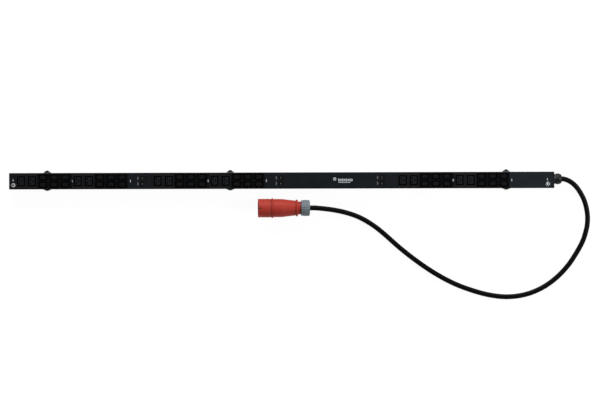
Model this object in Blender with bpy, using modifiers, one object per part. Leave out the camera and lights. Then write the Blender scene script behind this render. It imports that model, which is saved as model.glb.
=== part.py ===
"""Vertical rack power strip with snap-in outlets, breakers, clamp saddles and a plug on a cord.

The strip lies on its back: +X runs along it towards the cord, +Z points out of the outlet
face, and the origin is on the surface under the middle of the strip. All sizes are in metres.
"""

import math

import bmesh
import bpy
from mathutils import Matrix, Vector

# Driving dimensions of the strip.
BODY_LENGTH = 1.820
BODY_WIDTH = 0.054
GAP = 0.0003
SADDLE_THICKNESS = 0.0015
WALL = 0.0015
BACK_Z = SADDLE_THICKNESS + GAP
LIP_TOP_Z = 0.0484
FACE_Z = 0.0500
MID_Z = (BACK_Z + LIP_TOP_Z) / 2
STRIP_Y = -0.0015
LIP_REACH = 0.0039
END_CAP_THICKNESS = 0.0025

# Outlet banks: five columns to a bank, two banks to a group.
PITCH = 0.0372
BANK_GAP = 0.0040
GROUP_CENTRES = (-0.702, -0.2455, 0.5725)
LARGE_COLUMNS = 2
COLUMNS_PER_BANK = 5
ROW_Y = 0.0120

# One snap-in module: a bezel that rests on the lips, and a body between them.
BEZEL_X = 0.0366
BEZEL_Y = 0.0480
BEZEL_THICKNESS = FACE_Z - LIP_TOP_Z - GAP
BODY_Y = 0.0456
MODULE_DEPTH = 0.0290
SMALL_BODY_X = 0.0320
LARGE_BODY_X = 0.0290
MOAT_DEPTH = 0.0160
SLOT_DEPTH = 0.0125
CUT_ABOVE = 0.0010
SMALL_RECESS = (0.0286, 0.0202)
SMALL_BOSS = (0.0226, 0.0142)
SMALL_SLOT = (0.0026, 0.0050)
SMALL_SLOT_PLACES = ((-0.0070, 0.0022), (0.0070, 0.0022), (0.0, -0.0030))
LARGE_RECESS = (0.0250, 0.0330)
LARGE_BOSS = (0.0180, 0.0264)
LARGE_SLOT = (0.0028, 0.0082)
LARGE_SLOT_PLACES = ((-0.0042, -0.0065), (-0.0042, 0.0065), (0.0042, 0.0))

# Breakers.
BREAKER_XS = (-0.4630, -0.0010, 0.3370)
BREAKER_ROW_Y = 0.0096
WINDOW_X = 0.0164
WINDOW_Y = 0.0154
WINDOW_FLOOR_Z = 0.0412
NECK_X = 0.0205
NECK_Y = 0.0382
NECK_TOP_Z = 0.0505
HOUSING_X = 0.0500
HOUSING_Y = 0.0440
HOUSING_LOW_Z = 0.0220
PIVOT_Z = 0.0465
REST_TILT = math.radians(12.0)
ROCKER_HALF_LENGTH = 0.0073
ROCKER_WIDTH = 0.0147
STUB_RADIUS = 0.0010
STUB_REACH = 0.0170
PIVOT_BORE_RADIUS = 0.0013
PIVOT_BORE_REACH = 0.0176

# Blank covers between the banks.
COVER_TOP_Z = 0.0497
TONGUE_LOW_Z = 0.0450
COVER_MARGIN = 0.0005

# Clamp saddles and their buttons.
SADDLE_XS = (-0.784, -0.172, 0.750)
SADDLE_WIDTH = 0.0240
SADDLE_HEIGHT = 0.0400
BUTTON_STEPS = 16

# Behind the outlets.
RAIL_START_X = -0.8900
RAIL_STOP_X = 0.8300
RAIL_HALF_WIDTH = 0.0180
RAIL_HALF_HEIGHT = 0.0040
BAR_PITCH = 0.0120
BAR_HALF_WIDTH = 0.0020
TERMINAL_SIZE = (0.0450, 0.0420, 0.0260)
TERMINAL_PITCH = 0.0080

# Ground screws.
GROUND_SCREWS = ((-0.8955, -0.0132), (0.8885, -0.0135))
SCREW_HOLE_RADIUS = 0.0033
SCREW_RADIUS = 0.0030
WASHER_RADIUS = 0.0075

# Gland and cord.
GLAND_Y = 0.0033
GLAND_TIP_X = 0.9360
GLAND_HOLE_RADIUS = 0.0127
GLAND_THREAD_RADIUS = 0.0124
GLAND_BORE_RADIUS = 0.0088
GLAND_HEX_RADIUS = 0.0190
GLAND_HEX_HEIGHT = 0.0065
GLAND_NUT_RADIUS = 0.0183
CORD_DIAMETER = 0.0170
CORD_STEP = 0.0340
CORD_REST_Z = 0.0087

# Plug, in its own frame: +X from the mouth of the shroud to the cord.
PLUG_Y = -0.0934
FLANGE_RADIUS = 0.0337
FLANGE_X = -0.0320
NUT_RADIUS = 0.0269
NUT_HEEL_X = 0.0905
PLUG_TAIL_X = 0.0935
PLUG_TILT = math.atan((FLANGE_RADIUS - NUT_RADIUS) / (NUT_HEEL_X - FLANGE_X))
PLUG_CLEARANCE = 0.0002
PIN_CIRCLE = 0.0140

BLACK_PAINT = ("black_paint", (0.012, 0.012, 0.013), 0.45, 0.0)
BLACK_PLASTIC = ("black_plastic", (0.018, 0.018, 0.019), 0.50, 0.0)
GREY_PLASTIC = ("grey_plastic", (0.16, 0.19, 0.21), 0.50, 0.0)
RED_PLASTIC = ("red_plastic", (0.42, 0.030, 0.022), 0.42, 0.0)
BLACK_RUBBER = ("black_rubber", (0.015, 0.015, 0.015), 0.70, 0.0)
BRIGHT_METAL = ("bright_metal", (0.70, 0.70, 0.69), 0.25, 1.0)

ALONG_X = (0.0, math.radians(90), 0.0)
ALONG_Y = (math.radians(-90), 0.0, 0.0)


def clear_scene():
    for item in list(bpy.data.objects):
        bpy.data.objects.remove(item, do_unlink=True)


def new_collection(name):
    group = bpy.data.collections.new(name)
    bpy.context.scene.collection.children.link(group)
    return group


def material(recipe):
    name, colour, roughness, metallic = recipe
    found = bpy.data.materials.get(name)
    if found:
        return found
    made = bpy.data.materials.new(name)
    made.use_nodes = True
    shader = made.node_tree.nodes["Principled BSDF"]
    shader.inputs["Base Color"].default_value = (*colour, 1.0)
    shader.inputs["Roughness"].default_value = roughness
    shader.inputs["Metallic"].default_value = metallic
    return made


def solid(name, mesh, location=(0, 0, 0), rotation=(0, 0, 0), group=None):
    made = bpy.data.objects.new(name, mesh)
    made.location = location
    made.rotation_euler = rotation
    (group or WORKSHOP).objects.link(made)
    return made


def box(name, size, location=(0, 0, 0)):
    """A box of the given size, centred on its own origin."""
    cube = bmesh.new()
    bmesh.ops.create_cube(cube, size=1.0)
    bmesh.ops.scale(cube, vec=Vector(size), verts=cube.verts)
    mesh = bpy.data.meshes.new(name)
    cube.to_mesh(mesh)
    cube.free()
    return solid(name, mesh, location)


def box_between(name, low, high):
    size = [top - bottom for bottom, top in zip(low, high)]
    middle = [(top + bottom) / 2 for bottom, top in zip(low, high)]
    return box(name, size, middle)


def cylinder(name, radius, length, segments, location=(0, 0, 0), rotation=(0, 0, 0)):
    tool = bmesh.new()
    bmesh.ops.create_cone(
        tool, cap_ends=True, segments=segments, radius1=radius, radius2=radius, depth=length
    )
    mesh = bpy.data.meshes.new(name)
    tool.to_mesh(mesh)
    tool.free()
    return solid(name, mesh, location, rotation)


def outline_solid(name, outlines, thickness, location=(0, 0, 0), rotation=(0, 0, 0)):
    """A flat shape from one or more outlines, where an inner outline is a hole."""
    shape = bpy.data.curves.new(name, "CURVE")
    shape.dimensions = "2D"
    shape.fill_mode = "BOTH"
    shape.extrude = thickness / 2
    for outline in outlines:
        line = shape.splines.new("POLY")
        line.points.add(len(outline) - 1)
        for point, (x, y) in zip(line.points, outline):
            point.co = (x, y, 0.0, 1.0)
        line.use_cyclic_u = True
    drawn = solid(name, shape, location, rotation)
    return meshed(drawn)


def meshed(drawn):
    """Turns a curve object into a mesh object with welded caps."""
    bpy.context.view_layer.update()
    graph = bpy.context.evaluated_depsgraph_get()
    mesh = bpy.data.meshes.new_from_object(drawn.evaluated_get(graph))
    weld = bmesh.new()
    weld.from_mesh(mesh)
    bmesh.ops.remove_doubles(weld, verts=weld.verts, dist=0.000005)
    bmesh.ops.recalc_face_normals(weld, faces=weld.faces)
    weld.to_mesh(mesh)
    weld.free()
    made = solid(drawn.name + "_mesh", mesh)
    made.matrix_world = drawn.matrix_world.copy()
    bpy.data.objects.remove(drawn, do_unlink=True)
    return made


def turned(name, profile, steps, closed=False, location=(0, 0, 0), rotation=(0, 0, 0)):
    """A turned shape: (radius, height) pairs from top to bottom down the outer side."""
    points = [(radius, 0.0, height) for radius, height in profile]
    edges = [(i, i + 1) for i in range(len(points) - 1)]
    if closed:
        edges.append((len(points) - 1, 0))
    mesh = bpy.data.meshes.new(name)
    mesh.from_pydata(points, edges, [])
    made = solid(name, mesh, location, rotation)
    lathe = made.modifiers.new("lathe", "SCREW")
    lathe.steps = steps
    lathe.render_steps = steps
    lathe.use_merge_vertices = True
    lathe.merge_threshold = 0.00001
    return made


def combine(base, tool, operation):
    """Joins or cuts with another closed piece, which stays behind as a guide."""
    change = base.modifiers.new(operation.lower(), "BOOLEAN")
    change.operation = operation
    change.solver = "EXACT"
    change.object = tool
    for group in list(tool.users_collection):
        group.objects.unlink(tool)
    CUTTERS.objects.link(tool)
    tool.hide_render = True
    tool.display_type = "WIRE"


def finished_mesh(name, piece):
    """The piece's mesh where it stands, with its modifiers applied and its sharp edges marked."""
    bpy.context.view_layer.update()
    graph = bpy.context.evaluated_depsgraph_get()
    mesh = bpy.data.meshes.new_from_object(piece.evaluated_get(graph))
    mesh.transform(piece.matrix_world)
    mesh.name = name
    mesh.shade_smooth()
    mesh.set_sharp_from_angle(angle=math.radians(35))
    for change in list(piece.modifiers):
        if change.type == "BOOLEAN":
            bpy.data.objects.remove(change.object, do_unlink=True)
    bpy.data.objects.remove(piece, do_unlink=True)
    return mesh


def part(name, mesh, recipe, parent, location=(0, 0, 0), rotation=(0, 0, 0)):
    """One named sub-part, placed in the frame of its parent."""
    made = solid(name, mesh, location, rotation, PARTS)
    made.parent = parent
    if not mesh.materials:
        mesh.materials.append(material(recipe))
    return made


def frame_empty(name, location, rotation=(0, 0, 0)):
    made = solid(name, None, location, rotation, PARTS)
    made.empty_display_size = 0.02
    return made


def rectangle(centre, size):
    (x, y), (width, height) = centre, size
    return [
        (x - width / 2, y - height / 2),
        (x + width / 2, y - height / 2),
        (x + width / 2, y + height / 2),
        (x - width / 2, y + height / 2),
    ]


def keyed_outline(centre, size, chamfer, nick):
    """A rectangle with its two lower corners cut off and its upper corners nicked."""
    (x, y), (width, height) = centre, size
    left, right = x - width / 2, x + width / 2
    low, high = y - height / 2, y + height / 2
    return [
        (left + chamfer, low),
        (right - chamfer, low),
        (right, low + chamfer),
        (right, high - nick),
        (right - nick, high),
        (left + nick, high),
        (left, high - nick),
        (left, low + chamfer),
    ]


def rounded_rectangle(centre, size, radius, arc_steps):
    (x, y), (width, height) = centre, size
    reach_x, reach_y = width / 2 - radius, height / 2 - radius
    points = []
    for quarter, (sx, sy) in enumerate(((1, -1), (1, 1), (-1, 1), (-1, -1))):
        start = math.radians(90 * quarter - 90)
        for step in range(arc_steps + 1):
            angle = start + math.radians(90) * step / arc_steps
            points.append((
                x + sx * reach_x + radius * math.cos(angle),
                y + sy * reach_y + radius * math.sin(angle),
            ))
    return points


# Outlet modules.


def module_blank(name, body_x, strip=0.0):
    """The bezel joined to the body; strip widens the bezel on its +X side."""
    bezel = box_between(
        name,
        (-BEZEL_X / 2, -BEZEL_Y / 2, -BEZEL_THICKNESS),
        (BEZEL_X / 2 + strip, BEZEL_Y / 2, 0.0),
    )
    body = box_between(
        name + "_body",
        (-body_x / 2, -BODY_Y / 2, -MODULE_DEPTH),
        (body_x / 2, BODY_Y / 2, -BEZEL_THICKNESS / 2),
    )
    combine(bezel, body, "UNION")
    return bezel


def cut_down(piece, name, outlines, depth):
    """Cuts outlines down into the face to the given depth."""
    height = depth + CUT_ABOVE
    tool = outline_solid(name, outlines, height, (0, 0, CUT_ABOVE - height / 2))
    combine(piece, tool, "DIFFERENCE")


def small_pair_mesh(name, strip=0.0):
    """Two keyed 10 A outlets, one above the other, with their keys towards -Y."""
    piece = module_blank(name, SMALL_BODY_X, strip)
    moats = []
    slots = []
    for y in (-ROW_Y, ROW_Y):
        moats.append(keyed_outline((0, y), SMALL_RECESS, 0.0060, 0.0012))
        moats.append(keyed_outline((0, y), SMALL_BOSS, 0.0052, 0.0010))
        for slot_x, slot_y in SMALL_SLOT_PLACES:
            slots.append(rectangle((slot_x, y + slot_y), SMALL_SLOT))
    cut_down(piece, name + "_moats", moats, MOAT_DEPTH)
    cut_down(piece, name + "_slots", slots, SLOT_DEPTH)
    return finished_mesh(name, piece)


def large_mesh(name):
    """One 16 A outlet, with its earth slot towards +X."""
    piece = module_blank(name, LARGE_BODY_X)
    moats = [
        rounded_rectangle((0, 0), LARGE_RECESS, 0.0032, 2),
        rounded_rectangle((0, 0), LARGE_BOSS, 0.0014, 2),
    ]
    slots = [rectangle(place, LARGE_SLOT) for place in LARGE_SLOT_PLACES]
    cut_down(piece, name + "_moat", moats, MOAT_DEPTH)
    cut_down(piece, name + "_slots", slots, SLOT_DEPTH)
    return finished_mesh(name, piece)


def bank_starts():
    """The X of each bank's first column, from left to right."""
    span = (COLUMNS_PER_BANK - 1) * PITCH
    for centre in GROUP_CENTRES:
        first = centre - span - (PITCH + BANK_GAP) / 2
        yield first, True
        yield first + span + PITCH + BANK_GAP, False


def make_outlets(strip):
    large = large_mesh("large_outlet")
    small = small_pair_mesh("small_outlets")
    small_end = small_pair_mesh("small_outlets_label", BANK_GAP)
    large_count = 0
    small_count = 0
    for start, has_label_strip in bank_starts():
        for column in range(COLUMNS_PER_BANK):
            place = (start + column * PITCH, 0, FACE_Z)
            if column < LARGE_COLUMNS:
                large_count += 1
                part(f"c19_outlet_{large_count:02d}", large, BLACK_PLASTIC, strip, place)
                continue
            small_count += 1
            last = column == COLUMNS_PER_BANK - 1
            mesh = small_end if last and has_label_strip else small
            part(f"c13_pair_{small_count:02d}", mesh, BLACK_PLASTIC, strip, place)


# Chassis, covers and end caps.


def make_chassis(strip):
    """A folded channel: back, two sides and two lips, one wall thick."""
    half = BODY_WIDTH / 2 - WALL / 2
    back = BACK_Z + WALL / 2
    front = LIP_TOP_Z - WALL / 2
    lip = BODY_WIDTH / 2 - LIP_REACH
    section = [(lip, front), (half, front), (half, back), (-half, back), (-half, front), (-lip, front)]
    end = BODY_LENGTH / 2 - END_CAP_THICKNESS - GAP
    rows = [[(x, y, z) for y, z in section] for x in (-end, end)]
    count = len(section)
    faces = [(i, i + 1, count + i + 1, count + i) for i in range(count - 1)]
    mesh = bpy.data.meshes.new("chassis_channel")
    mesh.from_pydata(rows[0] + rows[1], [], faces)
    sheet = solid("channel_sheet", mesh)
    wall = sheet.modifiers.new("wall", "SOLIDIFY")
    wall.thickness = WALL
    wall.offset = 0.0
    wall.use_even_offset = True
    part("chassis_channel", finished_mesh("chassis_channel", sheet), BLACK_PAINT, strip)


def make_end_cap(strip, name, side, gland_hole):
    outer = BODY_LENGTH / 2
    inner = outer - END_CAP_THICKNESS
    plate = box(name, (END_CAP_THICKNESS, BODY_WIDTH, COVER_TOP_Z - BACK_Z))
    plate.location = (side * (inner + outer) / 2, 0, (COVER_TOP_Z + BACK_Z) / 2)
    tongue = box_between(
        name + "_tongue",
        (inner - 0.0080, -0.0220, 0.0040),
        (inner + END_CAP_THICKNESS / 2, 0.0220, 0.0442),
    )
    tongue.location.x *= side
    combine(plate, tongue, "UNION")
    if gland_hole:
        place = (outer, GLAND_Y, MID_Z)
        hole = cylinder(name + "_hole", GLAND_HOLE_RADIUS, 0.030, 20, place, ALONG_X)
        combine(plate, hole, "DIFFERENCE")
    part(name, finished_mesh(name, plate), BLACK_PAINT, strip)


def cover_spans():
    """The free stretches of face between the groups, from left to right."""
    reach = (COLUMNS_PER_BANK - 0.5) * PITCH + BANK_GAP / 2 + BEZEL_X / 2 + COVER_MARGIN
    end = BODY_LENGTH / 2 - END_CAP_THICKNESS - GAP
    starts = [-end] + [centre + reach for centre in GROUP_CENTRES]
    stops = [centre - reach for centre in GROUP_CENTRES] + [end]
    return list(zip(starts, stops))


def make_covers(strip):
    names = ("cover_left_end", "cover_between_groups", "cover_centre", "cover_right_end")
    for name, (start, stop) in zip(names, cover_spans()):
        middle = (start + stop) / 2
        length = stop - start
        plate = box_between(
            name,
            (-length / 2, -BEZEL_Y / 2, LIP_TOP_Z + GAP),
            (length / 2, BEZEL_Y / 2, COVER_TOP_Z),
        )
        tongue = box_between(
            name + "_tongue",
            (-length / 2 + 0.0015, -BODY_Y / 2, TONGUE_LOW_Z),
            (length / 2 - 0.0015, BODY_Y / 2, (LIP_TOP_Z + COVER_TOP_Z) / 2),
        )
        combine(plate, tongue, "UNION")
        for x in BREAKER_XS:
            if start < x < stop:
                opening = box(
                    f"{name}_opening",
                    (NECK_X + 2 * GAP, NECK_Y + 2 * GAP, 0.020),
                    (x - middle, 0, COVER_TOP_Z),
                )
                combine(plate, opening, "DIFFERENCE")
        for x, y in GROUND_SCREWS:
            if start < x < stop:
                place = (x - middle, y, COVER_TOP_Z)
                hole = cylinder(f"{name}_screw_hole", SCREW_HOLE_RADIUS, 0.020, 12, place)
                combine(plate, hole, "DIFFERENCE")
        part(name, finished_mesh(name, plate), BLACK_PAINT, strip, (middle, 0, 0))


# Breakers.


def housing_mesh():
    """Both single-pole cases of a breaker pair, with a rocker window for each."""
    case = box_between(
        "breaker_housing",
        (-HOUSING_X / 2, -HOUSING_Y / 2, HOUSING_LOW_Z - PIVOT_Z),
        (HOUSING_X / 2, HOUSING_Y / 2, TONGUE_LOW_Z - GAP - PIVOT_Z),
    )
    neck = box_between(
        "breaker_neck",
        (-NECK_X / 2, -NECK_Y / 2, TONGUE_LOW_Z - 0.004 - PIVOT_Z),
        (NECK_X / 2, NECK_Y / 2, NECK_TOP_Z - PIVOT_Z),
    )
    combine(case, neck, "UNION")
    for y in (-BREAKER_ROW_Y, BREAKER_ROW_Y):
        window = box_between(
            "breaker_window",
            (-WINDOW_X / 2, y - WINDOW_Y / 2, WINDOW_FLOOR_Z - PIVOT_Z),
            (WINDOW_X / 2, y + WINDOW_Y / 2, NECK_TOP_Z - PIVOT_Z + CUT_ABOVE),
        )
        combine(case, window, "DIFFERENCE")
        bore = cylinder("pivot_bore", PIVOT_BORE_RADIUS, PIVOT_BORE_REACH, 12, (0, y, 0), ALONG_Y)
        combine(case, bore, "DIFFERENCE")
    return finished_mesh("breaker_housing", case)


def rocker_mesh():
    """A shallow vee-topped rocker about its pivot, with a stub shaft at each side."""
    half = ROCKER_HALF_LENGTH
    side_view = [
        (-half, 0.0002),
        (-0.0022, -0.0020),
        (0.0022, -0.0020),
        (half, 0.0002),
        (half, 0.0032),
        (0.0, 0.0017),
        (-half, 0.0032),
    ]
    upright = (math.radians(90), 0.0, 0.0)
    rocker = outline_solid("breaker_rocker", [side_view], ROCKER_WIDTH, (0, 0, 0), upright)
    shaft = cylinder("rocker_shaft", STUB_RADIUS, STUB_REACH, 12, (0, 0, 0), ALONG_Y)
    combine(rocker, shaft, "UNION")
    return finished_mesh("breaker_rocker", rocker)


def make_breakers(strip):
    case = housing_mesh()
    rocker = rocker_mesh()
    tilt = (0, -REST_TILT, 0)
    for pair, x in enumerate(BREAKER_XS):
        part(f"breaker_housing_{pair + 1}", case, BLACK_PLASTIC, strip, (x, 0, PIVOT_Z))
        for row, y in enumerate((BREAKER_ROW_Y, -BREAKER_ROW_Y)):
            number = 2 * pair + row + 1
            pivot = (x, y, PIVOT_Z)
            part(f"breaker_rocker_{number}", rocker, BLACK_PLASTIC, strip, pivot, tilt)


# Inside the channel.


def make_busbar_rail(strip):
    """An insulating rail with three grooves that hold the line, neutral and earth bars."""
    half, high = RAIL_HALF_WIDTH, RAIL_HALF_HEIGHT
    section = [(-half, -high), (half, -high), (half, high)]
    for middle in (BAR_PITCH, 0.0, -BAR_PITCH):
        for side, height in ((1, high), (1, 0.0), (-1, 0.0), (-1, high)):
            section.append((middle + side * BAR_HALF_WIDTH, height))
    section.append((-half, high))
    length = RAIL_STOP_X - RAIL_START_X
    middle_x = (RAIL_START_X + RAIL_STOP_X) / 2
    rotation = (math.radians(90), 0, math.radians(90))
    rail = outline_solid("busbar_rail", [section], length, (middle_x, 0, 0), rotation)
    top = FACE_Z - MODULE_DEPTH - GAP
    mesh = finished_mesh("busbar_rail", rail)
    part("busbar_rail", mesh, GREY_PLASTIC, strip, (0, 0, top - high))


def make_terminal_block(strip):
    """Five screw terminals between the cord's cores and the busbars."""
    length, _, height = TERMINAL_SIZE
    block = box("terminal_block", TERMINAL_SIZE)
    for index in range(5):
        y = (index - 2) * TERMINAL_PITCH
        well = cylinder("screw_well", 0.0024, 0.020, 10, (0, y, height / 2))
        combine(block, well, "DIFFERENCE")
        entry = box("wire_entry", (0.0120, 0.0060, 0.0060), (length / 2, y, -0.004))
        combine(block, entry, "DIFFERENCE")
    mesh = finished_mesh("terminal_block", block)
    place = (RAIL_STOP_X + GAP + length / 2, 0, BACK_Z + WALL + GAP + height / 2)
    part("terminal_block", mesh, GREY_PLASTIC, strip, place)


# Clamp saddles, each with a mounting button at both sides.


def make_saddles(strip):
    inner = BODY_WIDTH / 2 + GAP
    outer = inner + SADDLE_THICKNESS
    section = [
        (-outer, 0.0),
        (outer, 0.0),
        (outer, SADDLE_HEIGHT),
        (inner, SADDLE_HEIGHT),
        (inner, SADDLE_THICKNESS),
        (-inner, SADDLE_THICKNESS),
        (-inner, SADDLE_HEIGHT),
        (-outer, SADDLE_HEIGHT),
    ]
    rotation = (math.radians(90), 0, math.radians(90))
    band = outline_solid("saddle", [section], SADDLE_WIDTH, (0, 0, 0), rotation)
    upper_profile = [
        (0.0, 0.0355),
        (0.0046, 0.0355),
        (0.0054, 0.0347),
        (0.0054, 0.0332),
        (0.0106, 0.0322),
        (0.0110, 0.0318),
        (0.0110, 0.0305),
        (0.0100, 0.0300),
        (0.0100, outer - 0.0008),
        (0.0, outer - 0.0008),
    ]
    lower_profile = [
        (0.0, 0.0325),
        (0.0046, 0.0325),
        (0.0054, 0.0317),
        (0.0056, 0.0308),
        (0.0116, 0.0292),
        (0.0116, outer - 0.0008),
        (0.0, outer - 0.0008),
    ]
    away_from_plus_y = (math.radians(90), 0.0, 0.0)
    upper = turned("upper_button", upper_profile, BUTTON_STEPS, False, (0, 0, MID_Z), ALONG_Y)
    lower = turned("lower_button", lower_profile, BUTTON_STEPS, False, (0, 0, MID_Z), away_from_plus_y)
    combine(band, upper, "UNION")
    combine(band, lower, "UNION")
    mesh = finished_mesh("mounting_saddle", band)
    for number, x in enumerate(SADDLE_XS):
        part(f"mounting_saddle_{number + 1}", mesh, BLACK_PAINT, strip, (x, 0, 0))


def make_ground_screws(strip):
    profile = [
        (0.0, 0.0044),
        (0.0034, 0.0044),
        (0.0052, 0.0037),
        (0.0054, 0.0016),
        (WASHER_RADIUS, 0.0014),
        (WASHER_RADIUS, 0.0004),
        (0.0050, 0.0),
        (SCREW_RADIUS, 0.0),
        (SCREW_RADIUS, -0.0120),
        (0.0, -0.0120),
    ]
    mesh = finished_mesh("ground_screw", turned("ground_screw", profile, 16))
    for number, (x, y) in enumerate(GROUND_SCREWS):
        part(f"ground_screw_{number + 1}", mesh, BRIGHT_METAL, strip, (x, y, COVER_TOP_Z + GAP))


# Gland, cord and plug.


def make_gland(strip):
    face_x = BODY_LENGTH / 2 + GAP
    hexagon = []
    for corner in range(6):
        angle = math.radians(60 * corner)
        hexagon.append((GLAND_HEX_RADIUS * math.cos(angle), GLAND_HEX_RADIUS * math.sin(angle)))
    flange = outline_solid("gland_body", [hexagon], GLAND_HEX_HEIGHT, (0, 0, GLAND_HEX_HEIGHT / 2))
    spigot = cylinder("gland_spigot", GLAND_THREAD_RADIUS, 0.0310, 20, (0, 0, 0.0005))
    bore = cylinder("gland_bore", GLAND_BORE_RADIUS, 0.060, 16)
    combine(flange, spigot, "UNION")
    combine(flange, bore, "DIFFERENCE")
    mesh = finished_mesh("gland_body", flange)
    part("gland_body", mesh, GREY_PLASTIC, strip, (face_x, GLAND_Y, MID_Z), ALONG_X)
    start = GLAND_HEX_HEIGHT + GAP
    tip = GLAND_TIP_X - face_x
    profile = [
        (0.0, tip),
        (0.0112, tip),
        (0.0140, tip - 0.0016),
        (0.0163, tip - 0.0050),
        (GLAND_NUT_RADIUS, tip - 0.0110),
        (GLAND_NUT_RADIUS, start),
        (0.0128, start),
        (0.0128, 0.0180),
        (0.0, 0.0180),
    ]
    nut = finished_mesh("gland_nut", turned("gland_nut", profile, 20))
    part("gland_nut", nut, BLACK_PLASTIC, strip, (face_x, GLAND_Y, MID_Z), ALONG_X)


def plug_frame():
    """Where the plug's frame lies: tipped until its flange and its nut touch the surface."""
    turn = Matrix.Rotation(PLUG_TILT, 4, "Y")
    flange_height = FLANGE_RADIUS * math.cos(PLUG_TILT) + PLUG_CLEARANCE
    origin_z = flange_height + FLANGE_X * math.sin(PLUG_TILT)
    origin_x = FLANGE_X - FLANGE_X * math.cos(PLUG_TILT)
    return Matrix.Translation((origin_x, PLUG_Y, origin_z)) @ turn


def cord_route():
    """The cord's centre line from the gland, round its one loop, to the plug."""
    exit_y = STRIP_Y + GLAND_Y
    plug = plug_frame()
    plug_near = plug @ Vector((PLUG_TAIL_X + 0.018, 0, 0))
    plug_end = plug @ Vector((PLUG_TAIL_X + GAP, 0, 0))
    rest = CORD_REST_Z
    return [
        Vector((GLAND_TIP_X + GAP, exit_y, MID_Z)),
        Vector((0.940, exit_y, MID_Z)),
        Vector((0.9515, -0.0012, 0.0248)),
        Vector((0.9625, -0.0064, 0.0239)),
        Vector((0.9727, -0.0132, 0.0225)),
        Vector((0.9818, -0.0216, 0.0206)),
        Vector((0.9903, -0.0316, 0.0184)),
        Vector((0.9988, -0.0445, 0.0155)),
        Vector((1.0069, -0.0588, 0.0127)),
        Vector((1.0129, -0.0725, 0.0104)),
        Vector((1.0175, -0.0870, 0.0090)),
        Vector((1.0208, -0.1020, rest)),
        Vector((1.0230, -0.1175, rest)),
        Vector((1.0236, -0.1335, rest)),
        Vector((1.0224, -0.1515, rest)),
        Vector((1.0187, -0.1705, rest)),
        Vector((1.0082, -0.2045, rest)),
        Vector((0.988, -0.243, rest)),
        Vector((0.958, -0.288, rest)),
        Vector((0.918, -0.330, rest)),
        Vector((0.871, -0.363, rest)),
        Vector((0.816, -0.385, rest)),
        Vector((0.756, -0.393, rest)),
        Vector((0.696, -0.387, rest)),
        Vector((0.636, -0.371, rest)),
        Vector((0.576, -0.348, rest)),
        Vector((0.516, -0.316, rest)),
        Vector((0.456, -0.276, rest)),
        Vector((0.396, -0.229, rest)),
        Vector((0.336, -0.176, rest)),
        Vector((0.296, -0.146, rest)),
        Vector((0.256, -0.124, rest)),
        Vector((0.216, -0.110, 0.0105)),
        Vector((0.176, -0.101, 0.0165)),
        Vector((0.140, -0.096, 0.0230)),
        plug_near,
        plug_end,
    ]


def smooth_line(route, samples=16):
    """A Catmull-Rom curve through the route's points."""
    line = []
    for i in range(len(route) - 1):
        before = route[max(i - 1, 0)]
        start, end = route[i], route[i + 1]
        after = route[min(i + 2, len(route) - 1)]
        for step in range(samples):
            t = step / samples
            line.append(0.5 * (
                2 * start
                + (end - before) * t
                + (2 * before - 5 * start + 4 * end - after) * t * t
                + (3 * start - before - 3 * end + after) * t ** 3
            ))
    line.append(route[-1].copy())
    return line


def spaced(line, spacing):
    """Points along the line at even distances near the given spacing."""
    lengths = [0.0]
    for start, end in zip(line, line[1:]):
        lengths.append(lengths[-1] + (end - start).length)
    count = round(lengths[-1] / spacing)
    points = []
    index = 0
    for step in range(count + 1):
        wanted = lengths[-1] * step / count
        while index < len(line) - 2 and lengths[index + 1] < wanted:
            index += 1
        share = (wanted - lengths[index]) / (lengths[index + 1] - lengths[index])
        points.append(line[index].lerp(line[index + 1], min(share, 1.0)))
    return points


def make_cord():
    route = cord_route()
    between = spaced(smooth_line(route)[16:-16], CORD_STEP)
    points = [route[0], *between, route[-1]]
    tube = bpy.data.curves.new("power_cord", "CURVE")
    tube.dimensions = "3D"
    tube.bevel_depth = CORD_DIAMETER / 2
    tube.bevel_resolution = 3
    tube.use_fill_caps = True
    line = tube.splines.new("POLY")
    line.points.add(len(points) - 1)
    for point, place in zip(line.points, points):
        point.co = (*place, 1.0)
    cord = solid("power_cord", tube, group=PARTS)
    tube.materials.append(material(BLACK_RUBBER))
    return cord


def plug_piece(name, profile, steps, recipe, plug, closed=False):
    mesh = finished_mesh(name, turned(name, profile, steps, closed))
    part(name, mesh, recipe, plug, (0, 0, 0), ALONG_X)


def make_shroud(plug):
    profile = [
        (0.0300, -0.0293),
        (FLANGE_RADIUS, -0.0297),
        (FLANGE_RADIUS, FLANGE_X),
        (0.0312, -0.0415),
        (0.0312, -0.0790),
        (0.0287, -0.0790),
        (0.0287, -0.0420),
        (0.0240, -0.0420),
        (0.0240, -0.0390),
        (0.0287, -0.0390),
        (0.0287, -0.0293),
    ]
    shroud = turned("plug_shroud", profile, 32, True, (0, 0, 0), ALONG_X)
    notch = box("shroud_notch", (0.0190, 0.0046, 0.0120), (-0.0790, 0, 0.0310))
    combine(shroud, notch, "DIFFERENCE")
    part("plug_shroud", finished_mesh("plug_shroud", shroud), RED_PLASTIC, plug)


def make_pin_carrier(plug):
    """The insulating insert with four equal pins and a thicker, longer earth pin."""
    profile = [
        (0.0, -0.0200),
        (0.0283, -0.0200),
        (0.0283, -0.0387),
        (0.0236, -0.0387),
        (0.0236, -0.0440),
        (0.0, -0.0440),
    ]
    carrier = turned("pin_carrier", profile, 24)
    for index in range(5):
        angle = math.radians(180 + 72 * index)
        earth = index == 0
        radius = 0.0040 if earth else 0.0030
        tip = -0.0745 if earth else -0.0725
        place = (PIN_CIRCLE * math.cos(angle), PIN_CIRCLE * math.sin(angle), (tip - 0.0400) / 2)
        pin = cylinder("plug_pin", radius, -0.0400 - tip, 10, place)
        combine(carrier, pin, "UNION")
    mesh = finished_mesh("plug_pin_carrier", carrier)
    part("plug_pin_carrier", mesh, BLACK_PLASTIC, plug, (0, 0, 0), ALONG_X)


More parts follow.
